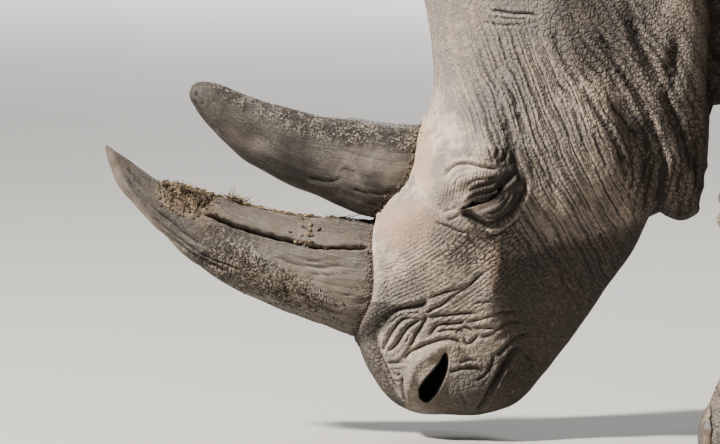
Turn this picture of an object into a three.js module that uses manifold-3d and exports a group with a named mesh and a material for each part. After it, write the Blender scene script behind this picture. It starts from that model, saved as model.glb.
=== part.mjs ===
// A grazing white rhinoceros at life size: a still model with its head down.
// Millimetres, Z up. X runs from the lips to the tail, Y to the animal's right, and the
// floor is Z = 0. Lengthways places are measured from below the eyes.

import * as THREE from 'three';
import { mergeVertices } from 'three/addons/utils/BufferGeometryUtils.js';
import Module from 'manifold-3d';

const wasm = await Module();
wasm.setup();

// Driving dimensions

const gap = 0.3;              // clear space left by a cut and between touching pieces
const reachOut = 900;         // farther to each side than any part of the animal
const underFloor = -50;       // a leg's block starts a little below the floor

const humpHeight = 1785;      // top of the hump over the shoulders
const backHeight = 1622;      // lowest point of the back
const croupHeight = 1695;     // top of the hips
const bellyHeight = 548;      // floor to the belly
const bellyWidth = 1040;
const neckWidth = 400;        // across the neck behind the jaws
const pollHeight = 985;       // top of the head, as it hangs
const cheekWidth = 392;       // across the cheekbones
const muzzleWidth = 252;      // across the square lips
const lipHeight = 42;         // floor to the lips

const eyeRadius = 24;
const eyeSide = 162;          // middle plane to the centre of an eyeball
const eyeAlong = -14;
const eyeHeight = 447;
const eyeSlant = -28;         // the eye opening rises towards the back of the head
const eyeOpening = [40, 26, 12];
const nostrilPlace = [-102, 146, 124];
const nostrilRadii = [17, 34, 30];
const nostrilSlant = 34;

const hornWidth = 196;        // front horn, across its foot
const rearHornWidth = 150;
const earLength = 265;
const earWall = 13;
const earFoot = [-52, -128, 912];
const earOutward = 38;        // the cup is turned out from straight ahead
const earBackward = -18;
const earSplay = 30;          // the tips stand apart

const kneeHeight = 430;
const hockHeight = 515;
const foreTrack = 524;        // between the middles of the fore feet
const hindTrack = 506;
const foreFootWidth = 252;
const hindFootWidth = 238;
const rightForeSetBack = 150; // the right fore foot stands behind the left one
const rightHindSetBack = -170;
const ankleHeight = 165;      // where a foot meets its leg
const foreInnerFace = 134;    // middle plane to the flat where a fore leg leaves the body
const hindInnerFace = 90;

const toeAngle = 52;          // from the middle toenail to the ones beside it
const nailHeight = 84;
const nailCrown = 26;         // height at which a nail is widest
const nailClearance = 4;      // the nails end just above the floor
const nailThickness = 11;
const nailRoot = 60;          // how far a nail's solid starts inside the foot
const nailShare = 0.36;       // width of an outer nail as a share of the foot's
const middleNailShare = 0.42;

const tailTop = 1395;
const tailEnd = 745;

// Rings along each loft and sides round it, or sides round each egg.
const finenessOf = {
  torso: [30, 22],
  skull: [28, 26],
  leg: [18, 12],
  tail: [12, 8],
  frontHorn: [16, 10],
  rearHorn: [12, 10],
  ear: [7, 10],
  earCup: [4, 8],
  nail: [2, 8],
};
const eyeSides = 10;
const nostrilSides = 8;

const skinColour = 0x8b8279;
const hornColour = 0x6f655b;
const eyeColour = 0x14100d;
const nailColour = 0x7a7064;

// Geometry helpers

function signedVolume(geometry) {
  const place = geometry.getAttribute('position');
  const index = geometry.getIndex();
  const corners = [new THREE.Vector3(), new THREE.Vector3(), new THREE.Vector3()];
  let sum = 0;
  for (let i = 0; i < index.count; i += 3) {
    corners.forEach((corner, k) => corner.fromBufferAttribute(place, index.getX(i + k)));
    sum += corners[0].dot(corners[1].cross(corners[2])) / 6;
  }
  return sum;
}

// A three.js geometry as a solid for joining and cutting, its faces pointing out.
function solid(geometry) {
  geometry.deleteAttribute('uv');
  geometry.deleteAttribute('normal');
  const merged = mergeVertices(geometry);
  const triVerts = new Uint32Array(merged.getIndex().array);
  if (signedVolume(merged) < 0) {
    triVerts.reverse();
  }
  const vertProperties = new Float32Array(merged.getAttribute('position').array);
  return new wasm.Manifold(new wasm.Mesh({ numProp: 3, vertProperties, triVerts }));
}

function join(solids) {
  return solids.reduce((whole, next) => whole.add(next));
}

function smoothThrough(ribs, pick) {
  return new THREE.CatmullRomCurve3(ribs.map((rib) => new THREE.Vector3(...pick(rib))));
}

function squared(value, power) {
  return Math.sign(value) * Math.abs(value) ** (2 / power);
}

// Body forms are lofts through ribs. A rib is a cross-section that reaches from the point
// `fore` to the point `aft`, both [x, z] in the side view, and `half` to each side of the
// plane y. It is widest at the share `widest` of the way from fore to aft, and `square`
// is 2 for an oval and more for a boxier section, with `aftSquare` for its aft half. A swell
// is a soft rise of both sides, `height` high and `reach` wide round the point `at`.
function loft(ribs, [rings, sides], grow = 0, swells = []) {
  const fores = smoothThrough(ribs, (rib) => [rib.fore[0], rib.y ?? 0, rib.fore[1]]);
  const afts = smoothThrough(ribs, (rib) => [rib.aft[0], rib.y ?? 0, rib.aft[1]]);
  const widths = smoothThrough(ribs, (rib) => [rib.half, rib.widest ?? 0.5, 0]);
  const corners = smoothThrough(ribs, (rib) => {
    const square = rib.square ?? 2;
    return [square, rib.aftSquare ?? square, 0];
  });
  const geometry = new THREE.CylinderGeometry(1, 1, 1, sides, rings);
  const place = geometry.getAttribute('position');
  for (let i = 0; i < place.count; i += 1) {
    const along = 0.5 - place.getY(i);
    const turn = Math.atan2(place.getX(i), place.getZ(i));
    const reach = Math.hypot(place.getX(i), place.getZ(i));
    const [half, widest] = widths.getPoint(along).toArray();
    const [foreSquare, aftSquare] = corners.getPoint(along).toArray();
    const square = Math.abs(turn) > Math.PI / 2 ? aftSquare : foreSquare;
    const toFore = reach * squared(Math.cos(turn), square);
    const toSide = reach * squared(Math.sin(turn), square);
    const even = (1 - toFore) / 2;
    const share = even + 4 * (widest - 0.5) * even * (1 - even);
    const fore = fores.getPoint(along);
    const aft = afts.getPoint(along);
    const outward = fore.clone().sub(aft).setLength(grow * toFore);
    const spot = fore.lerp(aft, share).add(outward);
    spot.y += toSide * (half + grow);
    for (const { at, height, reach: width } of swells) {
      const away = Math.hypot(spot.x - at[0], spot.z - at[1]) / width;
      spot.y += toSide * height * Math.exp(-away * away);
    }
    place.setXYZ(i, spot.x, spot.y, spot.z);
  }
  return geometry;
}

function mass(ribs, fineness, grow = 0, swells = []) {
  return solid(loft(ribs, fineness, grow, swells));
}

// An egg of the given radii [x, y, z], turned in the side view.
function egg(centre, radii, sides, lean = 0) {
  const geometry = new THREE.SphereGeometry(1, sides, Math.round(0.6 * sides));
  geometry.rotateX(Math.PI / 2);
  geometry.scale(...radii);
  geometry.rotateY(THREE.MathUtils.degToRad(lean));
  geometry.translate(...centre);
  return solid(geometry);
}

// A block with the given outline, [x, z] points, between two values of y.
function block(outline, from, to, grow = 0) {
  const shape = new THREE.Shape(outline.map(([x, z]) => new THREE.Vector2(x, z)));
  const geometry = new THREE.ExtrudeGeometry(shape, {
    depth: to - from,
    bevelEnabled: grow > 0,
    bevelSize: grow,
    bevelThickness: grow,
    bevelSegments: 1,
  });
  geometry.rotateX(Math.PI / 2);
  geometry.translate(0, to, 0);
  return solid(geometry);
}

// Cuts a body in two with a thin cut round a block: [inside the block, the rest].
function partedBy(body, outline, from = -reachOut, to = reachOut) {
  const inside = body.intersect(block(outline, from, to));
  const rest = body.subtract(block(outline, from, to, gap));
  return [inside, rest];
}

// A leg's ribs on one side of the body, with its foot set back along the floor.
function legRibs(ribs, side, setBack) {
  return ribs.map((rib) => ({
    ...rib,
    fore: [rib.fore[0] + setBack * (rib.free ?? 1), rib.fore[1]],
    aft: [rib.aft[0] + setBack * (rib.free ?? 1), rib.aft[1]],
    y: (rib.y ?? 0) * side,
  }));
}

const sidesOf = [['left', -1], ['right', 1]];

// Neck and trunk in one run, from inside the head to the rump: fore is the back line, aft
// the throat and the belly. Behind the throat fold the ribs step back up, then down to the
// brisket, which leaves the cleft in front of the chest.

const torsoRibs = [
  { fore: [-50, 960], aft: [120, 640], half: 0.34 * neckWidth },
  { fore: [20, 1068], aft: [265, 480], half: 0.44 * neckWidth, widest: 0.55 },
  { fore: [105, 1175], aft: [322, 388], half: 0.49 * neckWidth, widest: 0.56 },
  { fore: [190, 1285], aft: [374, 396], half: 0.52 * neckWidth, widest: 0.55 },
  { fore: [275, 1410], aft: [392, 560], half: 0.58 * neckWidth, widest: 0.55 },
  { fore: [370, 1550], aft: [401, 760], half: 0.68 * neckWidth, widest: 0.56 },
  { fore: [475, 1678], aft: [438, 640], half: 0.31 * bellyWidth, widest: 0.57 },
  { fore: [585, 1760], aft: [496, 545], half: 0.365 * bellyWidth, widest: 0.58 },
  { fore: [700, humpHeight], aft: [600, 508], half: 0.40 * bellyWidth, widest: 0.58 },
  { fore: [840, 1760], aft: [770, 500], half: 0.42 * bellyWidth, widest: 0.58 },
  { fore: [1040, 1690], aft: [1010, 528], half: 0.445 * bellyWidth, widest: 0.57 },
  { fore: [1300, 1636], aft: [1320, bellyHeight], half: 0.485 * bellyWidth, widest: 0.57 },
  { fore: [1600, backHeight], aft: [1620, bellyHeight], half: 0.50 * bellyWidth, widest: 0.57 },
  { fore: [1880, 1655], aft: [1880, 590], half: 0.485 * bellyWidth, widest: 0.55 },
  { fore: [2120, croupHeight], aft: [2080, 680], half: 0.44 * bellyWidth, widest: 0.52 },
  { fore: [2340, 1655], aft: [2280, 790], half: 0.40 * bellyWidth, widest: 0.5 },
  { fore: [2510, 1550], aft: [2440, 880], half: 0.33 * bellyWidth, widest: 0.5 },
  { fore: [2605, 1430], aft: [2560, 990], half: 0.22 * bellyWidth, widest: 0.5 },
  { fore: [2640, 1310], aft: [2615, 1130], half: 0.09 * bellyWidth, widest: 0.5 },
];

function torso(grow) {
  return mass(torsoRibs, finenessOf.torso, grow);
}

// Head, hanging nose down: fore is the face, aft the throat and the jaw.

const headRibs = [
  { fore: [-70, pollHeight], aft: [60, pollHeight + 10], half: 0.2 * cheekWidth },
  { fore: [-122, 945], aft: [140, 950], half: 0.36 * cheekWidth },
  { fore: [-140, 880], aft: [225, 850], half: 0.42 * cheekWidth, square: 2.3 },
  { fore: [-119, 785], aft: [285, 720], half: 0.44 * cheekWidth, square: 2.4, aftSquare: 3 },
  { fore: [-104, 690], aft: [300, 600], half: 0.47 * cheekWidth, square: 2.4, aftSquare: 3.4 },
  { fore: [-105, 605], aft: [305, 510], half: 0.5 * cheekWidth, square: 2.4, aftSquare: 3.6 },
  { fore: [-134, 530], aft: [302, 440], half: 0.485 * cheekWidth, square: 2.6, aftSquare: 3.6 },
  { fore: [-154, 460], aft: [281, 388], half: 0.45 * cheekWidth, square: 3, aftSquare: 3.4 },
  { fore: [-204, 390], aft: [254, 331], half: 0.385 * cheekWidth, square: 4, aftSquare: 3.2 },
  { fore: [-222, 315], aft: [215, 277], half: 0.54 * muzzleWidth, square: 4.6, aftSquare: 3 },
  { fore: [-231, 245], aft: [180, 222], half: 0.51 * muzzleWidth, square: 4.2, aftSquare: 2.8 },
  { fore: [-239, 180], aft: [140, 166], half: 0.5 * muzzleWidth, square: 3.2, aftSquare: 2.8 },
  { fore: [-226, 132], aft: [104, 122], half: 0.5 * muzzleWidth, square: 3 },
  { fore: [-200, 90], aft: [76, 86], half: 0.47 * muzzleWidth, square: 3 },
  { fore: [-172, 58], aft: [44, 58], half: 0.42 * muzzleWidth, square: 2.8 },
  { fore: [-130, lipHeight], aft: [-2, lipHeight], half: 0.26 * muzzleWidth, square: 2.4 },
];

const headSwells = [
  { at: [-14, eyeHeight + 31], height: 13, reach: 62 },   // brow
  { at: [34, eyeHeight - 33], height: 7, reach: 46 },     // pouch under the eye
  { at: [96, 548], height: 12, reach: 80 },               // cheekbone
  { at: [190, 420], height: 14, reach: 100 },             // jaw muscle
  { at: [-88, 138], height: 16, reach: 52 },              // nostril wing
  { at: [-20, 96], height: 10, reach: 50 },               // lip
];

function skull(grow) {
  return mass(headRibs, finenessOf.skull, grow, headSwells);
}

function nostril(side) {
  const [x, y, z] = nostrilPlace;
  return egg([x, y * side, z], nostrilRadii, nostrilSides, nostrilSlant);
}

function eyeball(side, grow = 0) {
  const radius = eyeRadius + grow;
  return egg([eyeAlong, eyeSide * side, eyeHeight], [radius, radius, radius], eyeSides);
}

// The hollow for an eyeball, with the opening between the lids in front of it.
function eyeHollow(side) {
  const front = [eyeAlong, (eyeSide + eyeRadius + 10) * side, eyeHeight];
  return eyeball(side, gap).add(egg(front, eyeOpening, eyeSides, eyeSlant));
}

const frontHornRibs = [
  { fore: [-196, 184], aft: [-150, 392], half: 0.46 * hornWidth },
  { fore: [-244, 180], aft: [-226, 392], half: 0.5 * hornWidth },
  { fore: [-301, 200], aft: [-288, 392], half: 0.45 * hornWidth },
  { fore: [-364, 221], aft: [-352, 400], half: 0.40 * hornWidth },
  { fore: [-428, 250], aft: [-414, 413], half: 0.36 * hornWidth },
  { fore: [-493, 284], aft: [-468, 428], half: 0.31 * hornWidth },
  { fore: [-542, 320], aft: [-510, 438], half: 0.26 * hornWidth },
  { fore: [-585, 360], aft: [-552, 449], half: 0.21 * hornWidth },
  { fore: [-621, 396], aft: [-594, 458], half: 0.16 * hornWidth },
  { fore: [-655, 434], aft: [-632, 484], half: 0.12 * hornWidth },
  { fore: [-686, 492], aft: [-672, 513], half: 0.06 * hornWidth },
  { fore: [-694, 522], aft: [-690, 527], half: 0.02 * hornWidth },
];

const rearHornRibs = [
  { fore: [-170, 398], aft: [-92, 566], half: 0.46 * rearHornWidth },
  { fore: [-226, 397], aft: [-140, 562], half: 0.5 * rearHornWidth },
  { fore: [-258, 406], aft: [-186, 564], half: 0.45 * rearHornWidth },
  { fore: [-306, 426], aft: [-246, 573], half: 0.39 * rearHornWidth },
  { fore: [-356, 450], aft: [-300, 578], half: 0.35 * rearHornWidth },
  { fore: [-403, 475], aft: [-346, 587], half: 0.31 * rearHornWidth },
  { fore: [-446, 499], aft: [-392, 600], half: 0.27 * rearHornWidth },
  { fore: [-480, 531], aft: [-436, 613], half: 0.23 * rearHornWidth },
  { fore: [-508, 560], aft: [-476, 630], half: 0.19 * rearHornWidth },
  { fore: [-530, 588], aft: [-506, 636], half: 0.14 * rearHornWidth },
  { fore: [-541, 612], aft: [-530, 632], half: 0.07 * rearHornWidth },
];

// Legs, from the shoulder or the hip down to the sole. `free` is the share of a leg's set
// back that a rib takes, so the leg swings from its top.

const foreLegRibs = [
  { fore: [610, 1500], aft: [790, 1510], half: 24, y: 190, free: 0 },
  { fore: [545, 1290], aft: [855, 1310], half: 76, y: 255, free: 0 },
  { fore: [464, 1070], aft: [886, 1100], half: 112, y: 292, free: 0 },
  { fore: [416, 890], aft: [880, 905], half: 130, y: 308, free: 0 },
  { fore: [413, 765], aft: [840, 760], half: 142, y: 298, free: 0.15 },
  { fore: [418, 655], aft: [765, 660], half: 134, y: 281, free: 0.4 },
  { fore: [409, 545], aft: [668, 560], half: 116, y: 269, free: 0.65 },
  { fore: [394, kneeHeight + 25], aft: [612, kneeHeight + 25], half: 104, y: 263, free: 0.85 },
  { fore: [391, kneeHeight - 40], aft: [600, kneeHeight - 40], half: 101, y: 0.5 * foreTrack },
  { fore: [411, 310], aft: [592, 310], half: 91, y: 0.5 * foreTrack },
  { fore: [420, 220], aft: [590, 220], half: 85, y: 0.5 * foreTrack },
  { fore: [406, 155], aft: [600, 155], half: 0.37 * foreFootWidth, y: 0.5 * foreTrack },
  { fore: [378, 92], aft: [618, 92], half: 0.47 * foreFootWidth, y: 0.5 * foreTrack },
  { fore: [368, 38], aft: [626, 38], half: 0.5 * foreFootWidth, y: 0.5 * foreTrack },
  { fore: [372, 0], aft: [620, 0], half: 0.48 * foreFootWidth, y: 0.5 * foreTrack },
];

const hindLegRibs = [
  { fore: [2190, 1570], aft: [2430, 1530], half: 24, y: 140, free: 0 },
  { fore: [2075, 1410], aft: [2570, 1365], half: 92, y: 200, free: 0 },
  { fore: [2020, 1260], aft: [2628, 1220], half: 150, y: 232, free: 0 },
  { fore: [1994, 1095], aft: [2644, 1075], half: 180, y: 255, free: 0.05 },
  { fore: [1985, 930], aft: [2600, 920], half: 174, y: 268, free: 0.15 },
  { fore: [2010, 800], aft: [2530, 800], half: 150, y: 266, free: 0.3 },
  { fore: [2080, 690], aft: [2470, 700], half: 122, y: 260, free: 0.5 },
  { fore: [2150, 590], aft: [2452, 605], half: 104, y: 255, free: 0.7 },
  { fore: [2192, hockHeight - 5], aft: [2462, hockHeight + 10], half: 95, y: 253, free: 0.85 },
  { fore: [2206, 425], aft: [2430, 430], half: 88, y: 0.5 * hindTrack },
  { fore: [2208, 320], aft: [2390, 320], half: 82, y: 0.5 * hindTrack },
  { fore: [2202, 220], aft: [2374, 220], half: 81, y: 0.5 * hindTrack },
  { fore: [2188, 155], aft: [2378, 155], half: 0.38 * hindFootWidth, y: 0.5 * hindTrack },
  { fore: [2160, 90], aft: [2392, 90], half: 0.47 * hindFootWidth, y: 0.5 * hindTrack },
  { fore: [2150, 36], aft: [2398, 36], half: 0.5 * hindFootWidth, y: 0.5 * hindTrack },
  { fore: [2154, 0], aft: [2392, 0], half: 0.48 * hindFootWidth, y: 0.5 * hindTrack },
];

const tailRibs = [
  { fore: [2520, tailTop - 20], aft: [2560, tailTop + 60], half: 42 },
  { fore: [2618, tailTop - 60], aft: [2672, tailTop], half: 36 },
  { fore: [2664, tailTop - 150], aft: [2724, tailTop - 130], half: 27 },
  { fore: [2674, tailTop - 300], aft: [2718, tailTop - 295], half: 19 },
  { fore: [2674, tailTop - 440], aft: [2710, tailTop - 440], half: 13 },
  { fore: [2662, tailEnd + 130], aft: [2718, tailEnd + 130], half: 13 },
  { fore: [2656, tailEnd + 60], aft: [2720, tailEnd + 60], half: 14 },
  { fore: [2676, tailEnd], aft: [2700, tailEnd], half: 7 },
];

// Ears: a cup with a thin wall, made upright and open towards -X, then turned into place.

const earRibs = [
  { fore: [-40, -40], aft: [40, -40], half: 40 },
  { fore: [-46, 30], aft: [44, 30], half: 46 },
  { fore: [-50, 0.45 * earLength], aft: [42, 0.45 * earLength], half: 68 },
  { fore: [-44, 0.7 * earLength], aft: [34, 0.7 * earLength], half: 66 },
  { fore: [-26, 0.9 * earLength], aft: [26, 0.9 * earLength], half: 38 },
  { fore: [-6, earLength], aft: [8, earLength], half: 7 },
];

const earCupRibs = [
  { fore: [-76, 46], aft: [4, 60], half: 14 },
  { fore: [-110, 0.45 * earLength], aft: [42 - earWall, 0.45 * earLength], half: 68 - earWall },
  { fore: [-100, 0.7 * earLength], aft: [34 - earWall, 0.7 * earLength], half: 66 - earWall },
  { fore: [-80, 0.92 * earLength], aft: [26 - 1.5 * earWall, 0.9 * earLength], half: 20 },
];

function earForm(ribs, fineness, side) {
  const geometry = loft(ribs, fineness);
  geometry.rotateZ(THREE.MathUtils.degToRad(earOutward));
  geometry.rotateY(THREE.MathUtils.degToRad(earBackward));
  geometry.rotateX(THREE.MathUtils.degToRad(earSplay));
  geometry.translate(...earFoot);
  geometry.scale(1, -side, 1);
  return solid(geometry);
}

function ear(side) {
  const cup = earForm(earCupRibs, finenessOf.earCup, side);
  const whole = earForm(earRibs, finenessOf.ear, side);
  return whole.subtract(cup).subtract(skull(gap)).subtract(torso(gap));
}

// Toenails: three to a foot, set round the front of the sole.

function toenail(angle, footRibs, footWidth) {
  const sole = footRibs[footRibs.length - 1];
  const toe = -0.5 * footWidth;
  const half = 0.5 * footWidth * (angle === 0 ? middleNailShare : nailShare);
  const rib = (front, height, width) => ({
    fore: [toe - front, height],
    aft: [toe + nailRoot, height],
    half: width * half,
    square: 2.8,
  });
  const ribs = [
    rib(-4, nailHeight, 0.5),
    rib(7, 0.8 * nailHeight, 1),
    rib(nailThickness, nailCrown, 1.15),
    rib(nailThickness, nailClearance, 1),
  ];
  const geometry = loft(ribs, finenessOf.nail);
  geometry.rotateZ(THREE.MathUtils.degToRad(angle));
  geometry.translate((sole.fore[0] + sole.aft[0]) / 2, sole.y, 0);
  return solid(geometry).subtract(mass(footRibs, finenessOf.leg, gap));
}

// Assembly

const skin = new THREE.MeshStandardMaterial({ color: skinColour, roughness: 0.9 });
const horn = new THREE.MeshStandardMaterial({ color: hornColour, roughness: 0.7 });
const gloss = new THREE.MeshStandardMaterial({ color: eyeColour, roughness: 0.1 });
const nail = new THREE.MeshStandardMaterial({ color: nailColour, roughness: 0.6 });

const animal = new THREE.Group();

function addNode(name, body, material) {
  const { vertProperties, triVerts } = body.getMesh();
  const geometry = new THREE.BufferGeometry();
  geometry.setAttribute('position', new THREE.BufferAttribute(vertProperties, 3));
  geometry.setIndex(new THREE.BufferAttribute(triVerts, 1));
  geometry.computeVertexNormals();
  const mesh = new THREE.Mesh(geometry, material);
  mesh.name = name;
  animal.add(mesh);
}

const legs = sidesOf.flatMap(([word, side]) => [
  {
    name: `${word}_fore`,
    ribs: legRibs(foreLegRibs, side, side > 0 ? rightForeSetBack : 0),
    footWidth: foreFootWidth,
    side,
    inner: foreInnerFace,
    top: [[350, 425], [387, 440], [387, 655], [870, 780]],
  },
  {
    name: `${word}_hind`,
    ribs: legRibs(hindLegRibs, side, side > 0 ? rightHindSetBack : 0),
    footWidth: hindFootWidth,
    side,
    inner: hindInnerFace,
    top: [[1940, 740], [2720, 1020]],
  },
]);

const wholeBody = join([
  skull(0),
  torso(0),
  mass(tailRibs, finenessOf.tail),
  ...legs.map((leg) => mass(leg.ribs, finenessOf.leg)),
]);

// Each leg is cut out of the body by a block that ends at its inner face.
let rest = wholeBody;
for (const { name, ribs, footWidth, side, inner, top } of legs) {
  const [from, to] = side < 0 ? [-reachOut, -inner] : [inner, reachOut];
  const first = top[0][0];
  const last = top[top.length - 1][0];
  const legOutline = [[first, underFloor], ...top, [last, underFloor]];
  const ankle = [[first, ankleHeight], [last, ankleHeight]];
  const footOutline = [[first, underFloor], ...ankle, [last, underFloor]];
  let limb;
  let foot;
  [limb, rest] = partedBy(rest, legOutline, from, to);
  [foot, limb] = partedBy(limb, footOutline);
  addNode(`${name}_leg`, limb, skin);
  addNode(`${name}_foot`, foot, skin);
  for (const [word, turn] of [['inner', side], ['middle', 0], ['outer', -side]]) {
    addNode(`${name}_${word}_toenail`, toenail(turn * toeAngle, ribs, footWidth), nail);
  }
}

let head;
let jaw;
let neck;
let tail;
[head, rest] = partedBy(rest, [
  [-400, 0], [-400, 1100], [-60, 1100], [235, 800], [312, 560], [308, 450], [286, 375], [286, 0],
]);
[jaw, head] = partedBy(head, [[8, 0], [18, 150], [280, 405], [340, 405], [340, 0]]);
for (const [word, side] of sidesOf) {
  head = head.subtract(eyeHollow(side)).subtract(nostril(side));
  addNode(`${word}_eye`, eyeball(side), gloss);
  addNode(`${word}_ear`, ear(side), skin);
}
[neck, rest] = partedBy(rest, [
  [-200, 300], [-200, 1400], [380, 1900], [540, 1900], [404, 1190], [399, 700], [399, 300],
]);
[tail, rest] = partedBy(rest, [
  [2648, 600], [2648, 1325], [2672, 1460], [2820, 1460], [2820, 600],
], -80, 80);

addNode('head', head, skin);
addNode('lower_jaw', jaw, skin);
addNode('neck', neck, skin);
addNode('trunk', rest, skin);
addNode('tail', tail, skin);
addNode('front_horn', mass(frontHornRibs, finenessOf.frontHorn).subtract(skull(gap)), horn);
addNode('rear_horn', mass(rearHornRibs, finenessOf.rearHorn).subtract(skull(gap)), horn);

// The origin is on the floor, under the middle of the whole model.
const middle = new THREE.Box3().setFromObject(animal).getCenter(new THREE.Vector3());
animal.position.set(-middle.x, -middle.y, 0);

const rhinoceros = new THREE.Group();
rhinoceros.add(animal);

export default rhinoceros;
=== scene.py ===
"""A grazing white rhinoceros at life size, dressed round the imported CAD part.

One wrinkled hide replaces the nodes of flesh. The horns, eyes and toenails are pieces of
their own, and so are the mud and the dry stalks on the front horn, the flakes round the
roots of both horns, the lashes, the ear fringe and the tail tuft.
"""

import math
import random

import bmesh
import bpy
import numpy as np
from bpy.props import FloatProperty, FloatVectorProperty, IntProperty, PointerProperty
from mathutils import Matrix, Vector, noise
from mathutils.bvhtree import BVHTree


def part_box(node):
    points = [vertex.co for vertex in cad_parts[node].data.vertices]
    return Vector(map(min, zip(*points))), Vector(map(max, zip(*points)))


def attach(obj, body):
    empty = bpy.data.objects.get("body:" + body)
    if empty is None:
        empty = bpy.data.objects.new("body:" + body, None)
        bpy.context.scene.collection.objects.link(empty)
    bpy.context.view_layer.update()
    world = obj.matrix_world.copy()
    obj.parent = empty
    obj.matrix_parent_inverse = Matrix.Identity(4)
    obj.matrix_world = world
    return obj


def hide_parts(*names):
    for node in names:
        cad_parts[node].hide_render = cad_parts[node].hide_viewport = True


bl_info = {
    "name": "Grazing Rhinoceros",
    "version": (1, 0, 0),
    "blender": (4, 5, 0),
    "location": "View3D > Sidebar > Rhinoceros",
    "description": "Builds the hide, horns, eyes, toenails, mud and tufts of a rhinoceros",
    "category": "Object",
}

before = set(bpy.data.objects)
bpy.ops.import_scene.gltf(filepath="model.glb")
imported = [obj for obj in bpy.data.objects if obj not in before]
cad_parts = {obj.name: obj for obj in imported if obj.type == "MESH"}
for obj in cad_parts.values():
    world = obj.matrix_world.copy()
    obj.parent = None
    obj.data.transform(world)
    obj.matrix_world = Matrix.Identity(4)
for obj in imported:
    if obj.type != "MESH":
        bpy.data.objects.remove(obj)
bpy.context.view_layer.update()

MM = 0.001
SIDES = {"left": -1, "right": 1}

# Places on the head are given as (x, z) in millimetres: x back from a line under the eyes,
# z up from the floor. The front horn's tip is 694 mm in front of that line.
EYES_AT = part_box("front_horn")[0].x + 694 * MM

FLESH = [
    name
    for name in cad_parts
    if not any(word in name for word in ("horn", "eye", "toenail"))
]
EARS_AND_TAIL = ["left_ear", "right_ear", "tail"]

FAR = 1e9
TINY = 1e-9


# Meshes


def add_object(name, mesh, material=None):
    piece = bpy.data.objects.new(name, mesh)
    bpy.context.scene.collection.objects.link(piece)
    if material:
        mesh.materials.append(material)
    mesh.polygons.foreach_set("use_smooth", [True] * len(mesh.polygons))
    return piece


def mesh_from(name, bm):
    mesh = bpy.data.meshes.new(name)
    bm.to_mesh(mesh)
    bm.free()
    return mesh


def node_copy(names):
    """CAD nodes as one bmesh, with their loose triangles merged."""
    bm = bmesh.new()
    for name in names:
        bm.from_mesh(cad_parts[name].data)
    bmesh.ops.remove_doubles(bm, verts=bm.verts, dist=1e-5)
    return bm


def with_modifiers(mesh, *modifiers):
    """The mesh that a list of (type, settings) modifiers leaves."""
    holder = add_object("holder", mesh)
    for kind, settings in modifiers:
        modifier = holder.modifiers.new(kind.lower(), kind)
        for key, value in settings.items():
            setattr(modifier, key, value)
    seen = holder.evaluated_get(bpy.context.evaluated_depsgraph_get())
    result = bpy.data.meshes.new_from_object(seen)
    bpy.data.objects.remove(holder)
    return result


def voxels(mesh, size):
    return with_modifiers(mesh, ("REMESH", {"mode": "VOXEL", "voxel_size": size}))


def read_all(items, key, width, kind=float):
    """One property of every item, as the rows of an array."""
    out = np.empty(len(items) * width, kind)
    items.foreach_get(key, out)
    return out.reshape(-1, width)


def places(mesh):
    return read_all(mesh.vertices, "co", 3)


def place_all(mesh, co):
    mesh.vertices.foreach_set("co", co.ravel())
    mesh.update()


def normals(mesh):
    return read_all(mesh.vertex_normals, "vector", 3, np.float32).astype(float)


def edge_pairs(mesh):
    return read_all(mesh.edges, "vertices", 2, np.int32)


def vertex_uv(mesh):
    """The UV place of each vertex, from any of its corners."""
    vertex = read_all(mesh.loops, "vertex_index", 1, np.int32)[:, 0]
    out = np.zeros((len(mesh.vertices), 2))
    out[vertex] = read_all(mesh.uv_layers.active.data, "uv", 2)
    return out


def smoothed(values, pairs, rounds, share=None, keep_size=True):
    """Values at the vertices, evened out along the edges, where `share` lets them."""
    count = np.zeros(len(values))
    np.add.at(count, pairs.ravel(), 1)
    count = np.maximum(count, 1)[:, None]
    share = 1.0 if share is None else share[:, None]
    steps = (0.5, -0.53) if keep_size else (0.5,)
    for _ in range(rounds):
        for step in steps:
            total = np.zeros_like(values)
            for axis in range(values.shape[1]):
                total[:, axis] = np.bincount(
                    pairs[:, 0], values[pairs[:, 1], axis], len(values)
                ) + np.bincount(pairs[:, 1], values[pairs[:, 0], axis], len(values))
            values = values + step * share * (total / count - values)
    return values


def smooth_mesh(mesh, rounds, share=None):
    place_all(mesh, smoothed(places(mesh), edge_pairs(mesh), rounds, share))


def subdivide_where(mesh, chosen, longest):
    """Splits the edges whose two ends are chosen, if they are longer than that."""
    bm = bmesh.new()
    bm.from_mesh(mesh)
    edges = [
        e
        for e in bm.edges
        if chosen[e.verts[0].index]
        and chosen[e.verts[1].index]
        and e.calc_length() > longest
    ]
    bmesh.ops.subdivide_edges(bm, edges=edges, cuts=1, use_grid_fill=True)
    crowded = [f for f in bm.faces if len(f.verts) > 4]
    bmesh.ops.triangulate(bm, faces=crowded)
    bm.to_mesh(mesh)
    bm.free()


def tree_of(mesh):
    return BVHTree.FromPolygons(
        [v.co for v in mesh.vertices], [p.vertices for p in mesh.polygons]
    )


def ramp(low, high, value):
    """0 at low, 1 at high, smooth between and level beyond, for numbers and arrays."""
    t = np.clip((value - low) / (high - low), 0, 1)
    return t * t * (3 - 2 * t)


def across_patch(x, z, centre, radii, turn):
    """Places of the side view from the centre of a turned ellipse, in its two radii."""
    c, s = math.cos(math.radians(turn)), math.sin(math.radians(turn))
    dx, dz = x - centre[0], z - centre[1]
    return (c * dx + s * dz) / radii[0], (c * dz - s * dx) / radii[1]


def within(x, z, centre, radii, turn, soft):
    """1 inside a turned ellipse of the side view, falling to 0 over its soft rim."""
    r = np.hypot(*across_patch(x, z, centre, radii, turn))
    return 1 - ramp(1 - soft, 1 + soft, r)


def painted(x, z, patches):
    """The sum of soft patches: strength, centre, radii, turn and soft rim of each."""
    return sum(strength * within(x, z, *patch) for strength, *patch in patches)


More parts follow.
